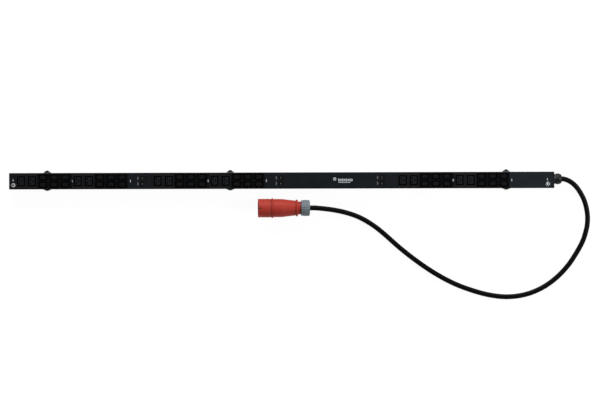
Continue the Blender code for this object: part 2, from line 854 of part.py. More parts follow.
def make_plug():
    placed = plug_frame()
    plug = frame_empty("plug_axis", placed.to_translation(), placed.to_euler())
    make_shroud(plug)
    make_pin_carrier(plug)
    rear_shell = [
        (0.0200, 0.0800),
        (0.0200, 0.0645),
        (0.0215, 0.0643),
        (0.0215, 0.0537),
        (0.0265, 0.0535),
        (0.0283, 0.0515),
        (0.0283, 0.0488),
        (0.0254, 0.0458),
        (0.0253, 0.0410),
        (0.0264, 0.0310),
        (0.0285, 0.0140),
        (0.0301, -0.0020),
        (0.0304, -0.0290),
        (0.0288, -0.0290),
        (0.0286, -0.0020),
        (0.0260, 0.0140),
        (0.0225, 0.0380),
        (0.0170, 0.0500),
        (0.0170, 0.0800),
    ]
    plug_piece("plug_rear_shell", rear_shell, 24, RED_PLASTIC, plug, True)
    nut = [
        (0.0, PLUG_TAIL_X),
        (0.0235, PLUG_TAIL_X),
        (NUT_RADIUS, NUT_HEEL_X),
        (NUT_RADIUS, 0.0730),
        (0.0262, 0.0715),
        (0.0262, 0.0648),
        (0.0204, 0.0648),
        (0.0204, 0.0830),
        (0.0, 0.0830),
    ]
    plug_piece("plug_gland_nut", nut, 24, GREY_PLASTIC, plug)


clear_scene()
PARTS = new_collection("rack_power_strip")
CUTTERS = new_collection("cutters")
WORKSHOP = new_collection("workshop")


def main():
    strip = frame_empty("strip_axis", (0, STRIP_Y, 0))
    make_chassis(strip)
    make_end_cap(strip, "end_cap_left", -1, False)
    make_end_cap(strip, "end_cap_right", 1, True)
    make_covers(strip)
    make_outlets(strip)
    make_breakers(strip)
    make_busbar_rail(strip)
    make_terminal_block(strip)
    make_saddles(strip)
    make_ground_screws(strip)
    make_gland(strip)
    make_cord()
    make_plug()
    for group in (CUTTERS, WORKSHOP):
        if not group.objects:
            bpy.data.collections.remove(group)


main()
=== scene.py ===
"""Looks of the rack power strip: detailed pieces, finishes, floor, light and camera."""

import math

import bmesh
import bpy
from mathutils import Matrix, Vector


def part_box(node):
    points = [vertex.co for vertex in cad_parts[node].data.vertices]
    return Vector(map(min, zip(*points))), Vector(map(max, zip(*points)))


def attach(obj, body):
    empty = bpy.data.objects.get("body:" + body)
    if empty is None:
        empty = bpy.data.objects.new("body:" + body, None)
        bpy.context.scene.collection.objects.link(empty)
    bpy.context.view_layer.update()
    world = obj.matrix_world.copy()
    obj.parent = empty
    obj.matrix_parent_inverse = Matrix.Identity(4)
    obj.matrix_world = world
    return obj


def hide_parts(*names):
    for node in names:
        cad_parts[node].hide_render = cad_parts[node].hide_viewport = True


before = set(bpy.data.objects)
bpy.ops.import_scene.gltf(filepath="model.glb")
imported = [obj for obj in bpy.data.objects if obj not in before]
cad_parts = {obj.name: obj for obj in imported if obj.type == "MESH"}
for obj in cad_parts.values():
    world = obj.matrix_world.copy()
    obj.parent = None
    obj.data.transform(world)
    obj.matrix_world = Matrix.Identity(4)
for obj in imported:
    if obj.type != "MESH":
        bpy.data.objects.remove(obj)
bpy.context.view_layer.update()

MM = 0.001

# The strip: its middle line, its outlet face, and the height of its buttons and gland.
STRIP_Y = -0.0015
FACE_Z = 0.0500
MID_Z = 0.0251
GLAND_ACROSS = 3.3 * MM

ALONG_X = Matrix.Rotation(math.radians(90), 4, "Y")
ALONG_PLUS_Y = Matrix.Rotation(math.radians(-90), 4, "X")
ALONG_MINUS_Y = Matrix.Rotation(math.radians(90), 4, "X")
# Stands a flat outline up as a cross-section: its x across the strip, its y up.
CROSS_SECTION = Matrix(((0, 0, 1, 0), (1, 0, 0, 0), (0, 1, 0, 0), (0, 0, 0, 1)))
SAME = Matrix.Identity(4)

# Plug, as the CAD has it: +X from the mouth of the shroud to the cord. It lies on its
# flange and on its nut, which is the thinner of the two.
PLUG_Y = -0.0934
FLANGE_RADIUS = 0.0337
FLANGE_X = -0.0320
NUT_RADIUS = 0.0269
NUT_X = 0.0905
PLUG_TILT = math.atan((FLANGE_RADIUS - NUT_RADIUS) / (NUT_X - FLANGE_X))
PLUG_CLEARANCE = 0.0002

# Cord.
CORD_DIAMETER = 0.0170
CORD_REST_Z = 0.0087
CORD_STEP = 0.008
CORD_EXIT = (0.9363, STRIP_Y + GLAND_ACROSS, MID_Z)
CORD_INSIDE_PLUG = (0.1115, 0.0938, 0.0680, 0.0420)


# Camera.

VIEW_WIDTH = 2.0028
VIEW_CENTRE = Vector((0.06109, -0.06616))
VIEW_HEIGHT = 0.049
VIEW_TURN = 0.0027
VIEW_TILT = math.radians(-1.0)
LENS = 250.0
SENSOR = 36.0
FARTHEST = 40.0


def linked(name, data):
    """A new object in the scene."""
    made = bpy.data.objects.new(name, data)
    bpy.context.scene.collection.objects.link(made)
    return made


def add_camera():
    data = bpy.data.cameras.new("photo_camera")
    data.lens = LENS
    data.sensor_width = SENSOR
    data.clip_end = FARTHEST
    camera = linked("photo_camera", data)
    target = Matrix.Rotation(-VIEW_TURN, 2) @ VIEW_CENTRE
    turn = Matrix.Rotation(-VIEW_TURN, 4, "Z") @ Matrix.Rotation(VIEW_TILT, 4, "X")
    away = turn @ Vector((0, 0, VIEW_WIDTH * LENS / SENSOR))
    camera.matrix_world = Matrix.Translation(Vector((*target, VIEW_HEIGHT)) + away) @ turn
    bpy.context.scene.camera = camera


# Cord route, the same line as the CAD's tube.


def plug_frame():
    """The plug's place: its own X from the shroud's mouth to the cord, lying on the floor."""
    turn = Matrix.Rotation(PLUG_TILT, 4, "Y")
    flange_height = FLANGE_RADIUS * math.cos(PLUG_TILT) + PLUG_CLEARANCE
    origin_z = flange_height + FLANGE_X * math.sin(PLUG_TILT)
    origin_x = FLANGE_X - FLANGE_X * math.cos(PLUG_TILT)
    return Matrix.Translation((origin_x, PLUG_Y, origin_z)) @ turn


def cord_route():
    """The cord's points from the gland, round its loop and into the plug."""
    plug = plug_frame()
    rest = CORD_REST_Z
    flat = [
        (0.940, 0.0018, 0.0251), (0.9515, -0.0012, 0.0248), (0.9625, -0.0064, 0.0239),
        (0.9727, -0.0132, 0.0225), (0.9818, -0.0216, 0.0206), (0.9903, -0.0316, 0.0184),
        (0.9988, -0.0445, 0.0155), (1.0069, -0.0588, 0.0127), (1.0129, -0.0725, 0.0104),
        (1.0175, -0.0870, 0.0090), (1.0208, -0.1020, rest), (1.0230, -0.1175, rest),
        (1.0236, -0.1335, rest), (1.0224, -0.1515, rest), (1.0187, -0.1705, rest),
        (1.0082, -0.2045, rest), (0.988, -0.243, rest), (0.958, -0.288, rest),
        (0.918, -0.330, rest), (0.871, -0.363, rest), (0.816, -0.385, rest),
        (0.756, -0.393, rest), (0.696, -0.387, rest), (0.636, -0.371, rest),
        (0.576, -0.348, rest), (0.516, -0.316, rest), (0.456, -0.276, rest),
        (0.396, -0.229, rest), (0.336, -0.176, rest), (0.296, -0.146, rest),
        (0.256, -0.124, rest), (0.216, -0.110, 0.0105), (0.176, -0.101, 0.0165),
        (0.140, -0.096, 0.0230),
    ]
    route = [Vector(CORD_EXIT)] + [Vector(p) for p in flat]
    # The cord runs on through the plug's nut, into its rear shell.
    for along in CORD_INSIDE_PLUG:
        route.append(plug @ Vector((along, 0, 0)))
    return route


def smooth_line(route, samples=16):
    """A smooth line through every point of the route, with samples to each stretch."""
    line = []
    for i in range(len(route) - 1):
        before = route[max(i - 1, 0)]
        start, end = route[i], route[i + 1]
        after = route[min(i + 2, len(route) - 1)]
        for step in range(samples):
            t = step / samples
            line.append(0.5 * (
                2 * start
                + (end - before) * t
                + (2 * before - 5 * start + 4 * end - after) * t * t
                + (3 * start - before - 3 * end + after) * t ** 3
            ))
    line.append(route[-1].copy())
    return line


def even(line, spacing):
    """Points at even steps along a line, about spacing apart."""
    lengths = [0.0]
    for start, end in zip(line, line[1:]):
        lengths.append(lengths[-1] + (end - start).length)
    count = round(lengths[-1] / spacing)
    points = []
    index = 0
    for step in range(count + 1):
        wanted = lengths[-1] * step / count
        while index < len(line) - 2 and lengths[index + 1] < wanted:
            index += 1
        share = (wanted - lengths[index]) / (lengths[index + 1] - lengths[index])
        points.append(line[index].lerp(line[index + 1], min(share, 1.0)))
    return points


# Finishes.

# A colour Mix node's sockets, which share their names with its other kinds.
MIX_FIRST = 6
MIX_SECOND = 7
MIX_RESULT = 2
# The cosine of an edge's turn where its wear begins, and where it is full.
EDGE_BEGINS = 0.995
EDGE_FULL = 0.86


def linear(red, green, blue):
    """A display colour from 0 to 255 as scene-linear light."""
    out = []
    for value in (red, green, blue):
        v = value / 255
        out.append(v / 12.92 if v <= 0.04045 else ((v + 0.055) / 1.055) ** 2.4)
    return tuple(out)


def finish(
    name, colour, shade, patch, rough, rough_span, grain, depth, metallic=0.0, specular=0.5,
    wear=0.0, wear_colour=None, edge=0.0005, glow=0.0,
):
    """A worn, grained surface: cloudy colour, uneven gloss, fine relief and lighter edges.

    colour and shade are the two tones of the clouds, and patch is the clouds' scale. rough and
    rough_span give the roughness and how far it strays, grain the scale of the fine relief, and
    depth its height in metres. edge is the width of the wear along edges, also in metres.
    """
    made = bpy.data.materials.new(name)
    made.use_nodes = True
    tree = made.node_tree
    shader = tree.nodes["Principled BSDF"]
    shader.inputs["Metallic"].default_value = metallic
    shader.inputs["Specular IOR Level"].default_value = specular
    shader.inputs["Emission Color"].default_value = (1.0, 1.0, 1.0, 1.0)
    shader.inputs["Emission Strength"].default_value = glow

    def node(kind, **values):
        new = tree.nodes.new(kind)
        for key, value in values.items():
            if key in new.inputs:
                new.inputs[key].default_value = value
            else:
                setattr(new, key, value)
        return new

    link = tree.links.new
    place = node("ShaderNodeTexCoord")
    where = place.outputs["Object"]
    clouds = node("ShaderNodeTexNoise", Scale=patch, Detail=5.0, Roughness=0.6)
    specks = node("ShaderNodeTexNoise", Scale=grain, Detail=2.0, Roughness=0.5)
    smears = node("ShaderNodeTexNoise", Scale=patch * 3.7, Detail=3.0, Roughness=0.55)
    for texture in (clouds, specks, smears):
        link(where, texture.inputs["Vector"])
    cloud_range = node("ShaderNodeMapRange", **{"From Min": 0.32, "From Max": 0.68})
    link(clouds.outputs["Fac"], cloud_range.inputs["Value"])
    tone = node("ShaderNodeMix", data_type="RGBA")
    tone.inputs[MIX_FIRST].default_value = (*colour, 1.0)
    tone.inputs[MIX_SECOND].default_value = (*shade, 1.0)
    link(cloud_range.outputs["Result"], tone.inputs[0])
    # Fine specks move the colour a little, as pigment and dust do.
    speck_range = node(
        "ShaderNodeMapRange",
        **{"From Min": 0.3, "From Max": 0.7, "To Min": 0.88, "To Max": 1.12},
    )
    link(specks.outputs["Fac"], speck_range.inputs["Value"])
    speckled = node("ShaderNodeVectorMath", operation="SCALE")
    link(tone.outputs[MIX_RESULT], speckled.inputs[0])
    link(speck_range.outputs["Result"], speckled.inputs["Scale"])
    # Edges are where a rounded normal differs from the true one; smears break their wear up.
    round_edge = node("ShaderNodeBevel", samples=4, Radius=edge)
    geometry = node("ShaderNodeNewGeometry")
    facing = node("ShaderNodeVectorMath", operation="DOT_PRODUCT")
    link(round_edge.outputs["Normal"], facing.inputs[0])
    link(geometry.outputs["Normal"], facing.inputs[1])
    edge_range = node(
        "ShaderNodeMapRange",
        **{"From Min": EDGE_BEGINS, "From Max": EDGE_FULL, "To Min": 0.0, "To Max": wear},
    )
    link(facing.outputs["Value"], edge_range.inputs["Value"])
    broken = node("ShaderNodeMath", operation="MULTIPLY")
    link(edge_range.outputs["Result"], broken.inputs[0])
    link(smears.outputs["Fac"], broken.inputs[1])
    worn = node("ShaderNodeMix", data_type="RGBA")
    worn.inputs[MIX_SECOND].default_value = (*(wear_colour or shade), 1.0)
    link(speckled.outputs["Vector"], worn.inputs[MIX_FIRST])
    link(broken.outputs["Value"], worn.inputs[0])
    link(worn.outputs[MIX_RESULT], shader.inputs["Base Color"])
    gloss = node(
        "ShaderNodeMapRange",
        **{
            "From Min": 0.3, "From Max": 0.7,
            "To Min": rough - rough_span, "To Max": rough + rough_span,
        },
    )
    link(smears.outputs["Fac"], gloss.inputs["Value"])
    link(gloss.outputs["Result"], shader.inputs["Roughness"])
    relief = node("ShaderNodeBump", Strength=0.55, Distance=depth)
    link(specks.outputs["Fac"], relief.inputs["Height"])
    link(relief.outputs["Normal"], shader.inputs["Normal"])
    return made


PAINT = finish(
    "powder_coat", linear(17, 18, 21), linear(20, 21, 24), 9.0, 0.50, 0.06, 1900.0, 0.00012,
    specular=0.12, wear=0.5, wear_colour=linear(60, 62, 66),
)
COVER_PAINT = finish(
    "cover_coat", linear(17, 20, 24), linear(20, 23, 27), 7.0, 0.46, 0.06, 1900.0, 0.00010,
    specular=0.14, wear=0.5, wear_colour=linear(62, 65, 70),
)
# A lighter copy of the cover coat: painted light on the right-hand end cover.
COVER_PAINTED_LIGHT = finish(
    "cover_coat_painted_light", linear(23, 27, 32), linear(26, 30, 35), 7.0, 0.46, 0.06, 1900.0, 0.00010,
    specular=0.14, wear=0.4, wear_colour=linear(62, 65, 70),
)
SADDLE_PAINT = finish(
    "saddle_coat", linear(7, 7, 8), linear(11, 12, 13), 60.0, 0.46, 0.08, 1600.0, 0.00010,
    specular=0.10, wear=0.4, wear_colour=linear(50, 51, 53),
)
OUTLET_FACE = finish(
    "outlet_face", linear(21, 22, 24), linear(25, 26, 28), 70.0, 0.48, 0.07, 2600.0, 0.00006,
    specular=0.08, wear=0.12, wear_colour=linear(42, 44, 47),
)
OUTLET_CORE = finish(
    "outlet_core", linear(25, 26, 28), linear(29, 30, 32), 80.0, 0.52, 0.07, 2600.0, 0.00006,
    specular=0.06, wear=0.12, wear_colour=linear(38, 39, 41),
)
SMALL_FACE = finish(
    "small_outlet_face", linear(9, 10, 11), linear(12, 13, 14), 70.0, 0.50, 0.07, 2600.0, 0.00006,
    specular=0.05, wear=0.08, wear_colour=linear(26, 27, 29),
)
SMALL_CORE = finish(
    "small_outlet_core", linear(19, 19, 21), linear(23, 23, 25), 80.0, 0.52, 0.07, 2600.0, 0.00006,
    specular=0.05, wear=0.08, wear_colour=linear(26, 27, 29),
)
# Painted shade: a near-black finish for recess walls and floors, slot walls and the insides of
# cases.
PAINTED_WELL_SHADE = finish(
    "painted_well_shade", linear(2, 2, 3), linear(4, 4, 5), 90.0, 0.62, 0.06, 2400.0, 0.00006,
    specular=0.0, wear=0.05, wear_colour=linear(10, 10, 11),
)
CONTACT = finish(
    "contact_brass", (0.022, 0.019, 0.013), (0.016, 0.013, 0.009), 300.0, 0.48, 0.08, 3000.0,
    0.00003, metallic=1.0, wear=0.2, wear_colour=(0.04, 0.035, 0.025), edge=0.0002,
)
BREAKER_CASE = finish(
    "breaker_case", linear(13, 14, 15), linear(17, 18, 19), 90.0, 0.44, 0.07, 2400.0, 0.00005,
    specular=0.2, wear=0.45, wear_colour=linear(60, 61, 65),
)
ROCKER = finish(
    "rocker_gloss", linear(13, 14, 15), linear(17, 18, 19), 120.0, 0.38, 0.08, 2800.0, 0.00003,
    specular=0.14, wear=0.3, wear_colour=linear(46, 47, 49), edge=0.0004,
)
INSULATOR = finish(
    "insulator_grey", linear(150, 152, 150), linear(138, 141, 140), 30.0, 0.55, 0.06, 1800.0,
    0.00008, wear=0.3, wear_colour=linear(190, 191, 190),
)
STEEL = finish(
    "bright_steel", (0.78, 0.78, 0.77), (0.66, 0.66, 0.66), 220.0, 0.34, 0.10, 2600.0, 0.00005,
    metallic=1.0, wear=0.5, wear_colour=(0.92, 0.92, 0.91), edge=0.0004,
)
# Dark steel for cap screws and rivets, also used as painted shade on the floors of bright screws'
# recesses.
DARK_STEEL_AND_SHADE = finish(
    "dark_steel_and_recess_shade", (0.10, 0.10, 0.105), (0.07, 0.07, 0.075), 200.0, 0.42, 0.10, 2600.0, 0.00005,
    metallic=1.0, wear=0.6, wear_colour=(0.4, 0.4, 0.4), edge=0.0003,
)
GLAND_PLASTIC = finish(
    "gland_polyamide", linear(10, 11, 12), linear(14, 15, 16), 90.0, 0.42, 0.08, 2200.0, 0.00007,
    specular=0.22, wear=0.3, wear_colour=linear(60, 61, 63),
)
# A lighter copy of the gland plastic for the hexagon and thread: painted light.
GLAND_HEX_PAINTED_LIGHT = finish(
    "gland_hexagon_painted_light", linear(27, 28, 29), linear(33, 34, 35), 90.0, 0.42, 0.08, 2200.0, 0.00007,
    specular=0.22, wear=0.4, wear_colour=linear(80, 81, 83),
)
# A pale finish for a strip along one saddle edge: painted highlight.
SADDLE_EDGE_HIGHLIGHT = finish(
    "saddle_edge_painted_highlight", linear(120, 120, 118), linear(138, 138, 135), 120.0, 0.42, 0.08, 2400.0,
    0.00006, specular=0.3, wear=0.4, wear_colour=linear(170, 170, 168),
)
RUBBER = finish(
    "cord_sheath", linear(7, 7, 8), linear(10, 10, 11), 24.0, 0.44, 0.07, 1500.0, 0.00012,
    specular=0.05, wear=0.0,
)
SEAL = finish(
    "seal_rubber", linear(12, 12, 13), linear(17, 17, 18), 200.0, 0.66, 0.08, 1800.0, 0.00010,
    specular=0.2, wear=0.3, wear_colour=linear(45, 45, 46),
)
RED = finish(
    "plug_red", (0.345, 0.034, 0.023), (0.362, 0.040, 0.028), 26.0, 0.50, 0.07, 2200.0, 0.00008,
    specular=0.10, wear=0.35, wear_colour=(0.50, 0.11, 0.08), edge=0.0007,
)
# A darker copy of the plug red for grooves and the neck's end: painted shade.
RED_PAINTED_SHADE = finish(
    "plug_red_painted_shade", (0.20, 0.016, 0.011), (0.215, 0.019, 0.013), 40.0, 0.44, 0.07, 2200.0,
    0.00008, specular=0.25, wear=0.35, wear_colour=(0.42, 0.09, 0.07), edge=0.0006,
)
GREY = finish(
    "plug_grey", linear(99, 107, 112), linear(106, 114, 119), 50.0, 0.46, 0.07, 2200.0, 0.00008,
    specular=0.25, wear=0.5, wear_colour=linear(145, 151, 155), edge=0.0007,
)
# Pin metal darkened well below nickel: painted shade inside the shroud.
PIN_NICKEL_SHADED = finish(
    "pin_nickel_painted_shade", (0.15, 0.145, 0.135), (0.12, 0.115, 0.105), 150.0, 0.34, 0.08, 2600.0, 0.00004,
    metallic=1.0, wear=0.5, wear_colour=(0.30, 0.29, 0.27), edge=0.0005,
)
INK = finish(
    "printed_ink", linear(200, 202, 204), linear(186, 188, 190), 500.0, 0.55, 0.05, 3000.0,
    0.00003, specular=0.2, wear=0.0,
)
INK_SOFT = finish(
    "printed_ink_soft", linear(112, 114, 117), linear(100, 102, 105), 500.0, 0.55, 0.05, 3000.0,
    0.00003, specular=0.2, wear=0.0,
)


# Shape tools. Outlines are in millimetres; meshes are in metres.

SHARP_ANGLE = 32.0
NUT_ANGLE = 40.0
STRAIGHT = 0.02
LONGEST_EASE = 0.48


def rectangle(width, height, centre=(0, 0)):
    x, y = centre
    return [
        (x - width / 2, y - height / 2), (x + width / 2, y - height / 2),
        (x + width / 2, y + height / 2), (x - width / 2, y + height / 2),
    ]


def keyed(width, height, chamfer, nick, centre=(0, 0)):
    """A rectangle with its two lower corners cut off and its upper corners nicked."""
    x, y = centre
    left, right, low, high = x - width / 2, x + width / 2, y - height / 2, y + height / 2
    return [
        (left + chamfer, low), (right - chamfer, low), (right, low + chamfer),
        (right, high - nick), (right - nick, high), (left + nick, high),
        (left, high - nick), (left, low + chamfer),
    ]


def mirrored(points):
    """The outline's other half, in the order that goes on from the first."""
    return [(-x, y) for x, y in reversed(points)]


def circle(radius, count, centre=(0, 0)):
    points = []
    for k in range(count):
        angle = math.tau * k / count
        points.append((centre[0] + radius * math.cos(angle), centre[1] + radius * math.sin(angle)))
    return points


def eased(points, radius, steps=4):
    """The outline with each corner rounded; radius is one number or one for each corner."""
    count = len(points)
    out = []
    for i, point in enumerate(points):
        r = radius[i] if isinstance(radius, (list, tuple)) else radius
        if r <= 0:
            out.append(point)
            continue
        here = Vector(point)
        to_last = Vector(points[i - 1]) - here
        to_next = Vector(points[(i + 1) % count]) - here
        angle = to_last.angle(to_next)
        if math.pi - angle < STRAIGHT:
            out.append(point)
            continue
        room = LONGEST_EASE * min(to_last.length, to_next.length)
        reach = min(r / math.tan(angle / 2), room)
        r = reach * math.tan(angle / 2)
        first = here + to_last.normalized() * reach
        last = here + to_next.normalized() * reach
        halfway = (to_last.normalized() + to_next.normalized()).normalized()
        centre = here + halfway * (r / math.sin(angle / 2))
        a, b = first - centre, last - centre
        turn = a.angle(b)
        for k in range(steps + 1):
            t = k / steps
            from_a, from_b = math.sin((1 - t) * turn), math.sin(t * turn)
            out.append(tuple(centre + (a * from_a + b * from_b) / math.sin(turn)))
    return out


def evaluated(holder):
    """The mesh that a helper object shows with its modifiers; the helper is removed."""
    bpy.context.view_layer.update()
    graph = bpy.context.evaluated_depsgraph_get()
    mesh = bpy.data.meshes.new_from_object(holder.evaluated_get(graph))
    bpy.data.objects.remove(holder)
    return mesh


def shaded(mesh, angle=SHARP_ANGLE):
    """Smooths a mesh between its sharp edges and keeps its flats flat."""
    mesh.shade_smooth()
    mesh.set_sharp_from_angle(angle=math.radians(angle))
    holder = linked("holder", mesh)
    weighted = holder.modifiers.new("weighted", "WEIGHTED_NORMAL")
    weighted.keep_sharp = True
    return evaluated(holder)


def settled(mesh, angle=SHARP_ANGLE):
    """Welds a mesh, points its faces out and shades it."""
    work = bmesh.new()
    work.from_mesh(mesh)
    bmesh.ops.remove_doubles(work, verts=work.verts, dist=1e-6)
    bmesh.ops.recalc_face_normals(work, faces=work.faces)
    work.to_mesh(mesh)
    work.free()
    return shaded(mesh, angle)


def plate(outer, holes, low, high, bevel=0.0, rounds=2):
    """A flat shape between two heights, with rounded edges; sizes in millimetres."""
    curve = bpy.data.curves.new("plate", "CURVE")
    curve.dimensions = "2D"
    curve.fill_mode = "BOTH"
    curve.extrude = ((high - low) / 2 - bevel) * MM
    curve.bevel_depth = bevel * MM
    curve.bevel_resolution = rounds
    curve.offset = -bevel * MM
    for outline in [outer, *holes]:
        line = curve.splines.new("POLY")
        line.points.add(len(outline) - 1)
        for point, (x, y) in zip(line.points, outline):
            point.co = (x * MM, y * MM, 0.0, 1.0)
        line.use_cyclic_u = True
    mesh = evaluated(linked("plate", curve))
    mesh.transform(Matrix.Translation((0, 0, (low + high) / 2 * MM)))
    mesh.materials.clear()
    return settled(mesh)


def lathe(profile, count, radius_at=None, closed=False, angle=SHARP_ANGLE):
    """A turned shape from (radius, height) pairs; radius_at may shape it round its axis."""
    work = bmesh.new()
    rings = []
    for radius, height in profile:
        if radius <= 1e-6:
            rings.append([work.verts.new((0, 0, height * MM))])
            continue
        ring = []
        for k in range(count):
            turn = math.tau * k / count
            r = radius_at(radius, height, turn) if radius_at else radius
            ring.append(work.verts.new((
                r * MM * math.cos(turn), r * MM * math.sin(turn), height * MM,
            )))
        rings.append(ring)
    pairs = list(zip(rings, rings[1:]))
    if closed:
        pairs.append((rings[-1], rings[0]))
    for upper, lower in pairs:
        for k in range(count):
            n = (k + 1) % count
            corners = [upper[k % len(upper)], upper[n % len(upper)]]
            corners += [lower[n % len(lower)], lower[k % len(lower)]]
            unique = []
            for corner in corners:
                if corner not in unique:
                    unique.append(corner)
            if len(unique) > 2:
                work.faces.new(unique)
    mesh = bpy.data.meshes.new("lathe")
    work.to_mesh(mesh)
    work.free()
    return settled(mesh, angle)


def joined(name, parts):
    """One mesh from (mesh, material, matrix) parts, each with its own material."""
    finishes = []
    combined = bmesh.new()
    for mesh, material, matrix in parts:
        if material not in finishes:
            finishes.append(material)
        index = finishes.index(material)
        copy = mesh.copy()
        copy.transform(matrix)
        for face in copy.polygons:
            face.material_index = index
        combined.from_mesh(copy)
        bpy.data.meshes.remove(copy)
    made = bpy.data.meshes.new(name)
    combined.to_mesh(made)
    combined.free()
    for material in finishes:
        made.materials.append(material)
    out = shaded(made)
    out.name = name
    return out


def cut(mesh, tools):
    """Cuts closed meshes out of a closed mesh."""
    base = linked("base", mesh)
    helpers = []
    for tool in tools:
        helper = linked("tool", tool)
        change = base.modifiers.new("cut", "BOOLEAN")
        change.operation = "DIFFERENCE"
        change.solver = "EXACT"
        change.object = helper
        helpers.append(helper)
    out = evaluated(base)
    for helper in helpers:
        bpy.data.objects.remove(helper)
    out.materials.clear()
    return settled(out)


def shifted(mesh, x=0.0, y=0.0, z=0.0):
    """A copy of a mesh, moved by millimetres."""
    copy = mesh.copy()
    copy.transform(Matrix.Translation((x * MM, y * MM, z * MM)))
    return copy


def show(name, mesh, body="strip", place=None, stands_for=(), material=None):
    """Adds a piece to the scene, on its CAD body and in its material slot."""
    piece = linked(name, mesh)
    if place is not None:
        piece.matrix_world = place
    if material is not None and not mesh.materials:
        mesh.materials.append(material)
    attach(piece, body)
    if stands_for:
        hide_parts(*stands_for)


def on_strip(x, z=FACE_Z, y=0.0):
    """A place on the strip, in metres, with y from its middle line."""
    return Matrix.Translation((x, STRIP_Y + y, z))


def middle_of(node):
    """The middle of a CAD node's box, in millimetres, with y from the strip's middle line."""
    low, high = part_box(node)
    return ((low + high) / 2 - Vector((0, STRIP_Y, 0))) / MM


# Heights that the covers and the outlets share, from the outlet face, and their sizes.

COVER_TOP = -0.3
BEZEL_TOP = -0.25
BEZEL_UNDERSIDE = -1.25
BEZEL_LOW = -1.3
WELL_TOP = -0.9
FLOOR_TOP = -16.0
BOSS_LOW = -16.2
WELL_LOW = -17.0
FLOOR_LOW = -17.2
CASE_LOW = -29.0
MODULE_LENGTH = 36.6
MODULE_WIDTH = 48.0
CASE_WIDTH = 45.6
LABEL = 4.0
LARGE_SLOT = (3.2, 8.6)
SMALL_SLOT = (2.6, 5.0)


# Chassis, end caps and covers.

SIDE = 27.2
INNER_SIDE = 25.5
LIP_EDGE = 23.1
BACK = 1.8
INNER_BACK = 3.3
LIP_TOP = 48.4
LIP_UNDERSIDE = 46.9
CHASSIS_END = 907.2
CAP_TOP = 49.7
CAP_MIDDLE = 908.75
CAP_HALF = 1.25
CAP_SCREW = 3.1
TONGUE = (44.0, 40.2, (0, 24.1))
TONGUE_HALF = 4.0
TONGUE_SHIFT = 4.6
CORD_HOLE = circle(12.7, 40, (GLAND_ACROSS / MM, MID_Z / MM))
BREAKER_WINDOW = (21.1, 38.8)
SCREW_HOLE = 3.3

BREAKER_XS = [middle_of(f"breaker_housing_{number}").x for number in (1, 2, 3)]
SCREW_PLACES = [middle_of(f"ground_screw_{number}").xy for number in (1, 2)]


def make_chassis():
    outer = [(LIP_EDGE, LIP_TOP), (SIDE, LIP_TOP), (SIDE, BACK)]
    inner = [(INNER_SIDE, INNER_BACK), (INNER_SIDE, LIP_UNDERSIDE), (LIP_EDGE, LIP_UNDERSIDE)]
    outline = outer + mirrored(outer) + mirrored(inner) + inner
    radii = [0.3, 0.9, 1.8, 1.8, 0.9, 0.3, 0.3, 0.2, 0.4, 0.4, 0.2, 0.3]
    mesh = plate(eased(outline, radii, 5), [], -CHASSIS_END, CHASSIS_END)
    mesh.transform(CROSS_SECTION)
    show(
        "chassis", mesh, place=on_strip(0, 0), stands_for=["chassis_channel"],
        material=PAINT,
    )


def make_end_cap(side, name, openings):
    """A cap sheet with four sunk screws and a tongue that goes into the channel."""
    corners = eased([(-SIDE, BACK), (SIDE, BACK), (SIDE, CAP_TOP), (-SIDE, CAP_TOP)], 1.6, 5)
    screws = [(across, up) for up in (9.0, 43.0) for across in (-18.5, 18.5)]
    holes = [circle(CAP_SCREW, 28, centre) for centre in screws]
    sheet = plate(corners, holes + openings, -CAP_HALF, CAP_HALF, 0.35, 2)
    parts = [(sheet, COVER_PAINT, CROSS_SECTION)]
    ring = plate(circle(CAP_SCREW - 0.15, 28), [circle(1.35, 6)], -1.0, 0.75, 0.3, 2)
    bottom = plate(circle(CAP_SCREW - 0.3, 20), [], -1.1, -0.5)
    # The left cap's screws face the other way.
    turn = CROSS_SECTION if side > 0 else CROSS_SECTION @ Matrix.Rotation(math.pi, 4, "Y")
    for across, up in screws:
        for item in (ring, bottom):
            parts.append((shifted(item, side * across, up), DARK_STEEL_AND_SHADE, turn))
    tongue = plate(eased(rectangle(*TONGUE), 1.0, 3), openings, -TONGUE_HALF, TONGUE_HALF)
    parts.append((shifted(tongue, z=-side * TONGUE_SHIFT), PAINT, CROSS_SECTION))
    mesh = joined(name + "_look", parts)
    place = on_strip(side * CAP_MIDDLE * MM, 0)
    show(name + "_look", mesh, place=place, stands_for=[name])


def make_end_caps():
    make_end_cap(-1, "end_cap_left", [])
    make_end_cap(1, "end_cap_right", [CORD_HOLE])


def make_cover(name, coat):
    """A blank cover with a window for each breaker pair and a hole for each ground screw."""
    low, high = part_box(name)
    start, stop = low.x / MM, high.x / MM
    middle = (start + stop) / 2
    holes = []
    for x in BREAKER_XS:
        if start < x < stop:
            holes.append(eased(rectangle(*BREAKER_WINDOW, (x - middle, 0)), 0.9, 3))
    for x, y in SCREW_PLACES:
        if start < x < stop:
            holes.append(circle(SCREW_HOLE, 20, (x - middle, y)))
    outer = eased(rectangle(stop - start, MODULE_WIDTH), 0.7, 3)
    face = plate(outer, holes, BEZEL_LOW, COVER_TOP, 0.25, 2)
    inner = eased(rectangle(stop - start - 3.0, CASE_WIDTH), 0.5, 2)
    skirt = plate(inner, holes, -5.0, BEZEL_UNDERSIDE)
    mesh = joined(name + "_look", [(face, coat, SAME), (skirt, coat, SAME)])
    show(name + "_look", mesh, place=on_strip(middle * MM), stands_for=[name])


def make_covers():
    for name in ("cover_left_end", "cover_between_groups", "cover_centre"):
        make_cover(name, COVER_PAINT)
    # The right-hand end cover takes the lighter copy, painted light.
    make_cover("cover_right_end", COVER_PAINTED_LIGHT)


# Outlets. Heights here are from the outlet face.


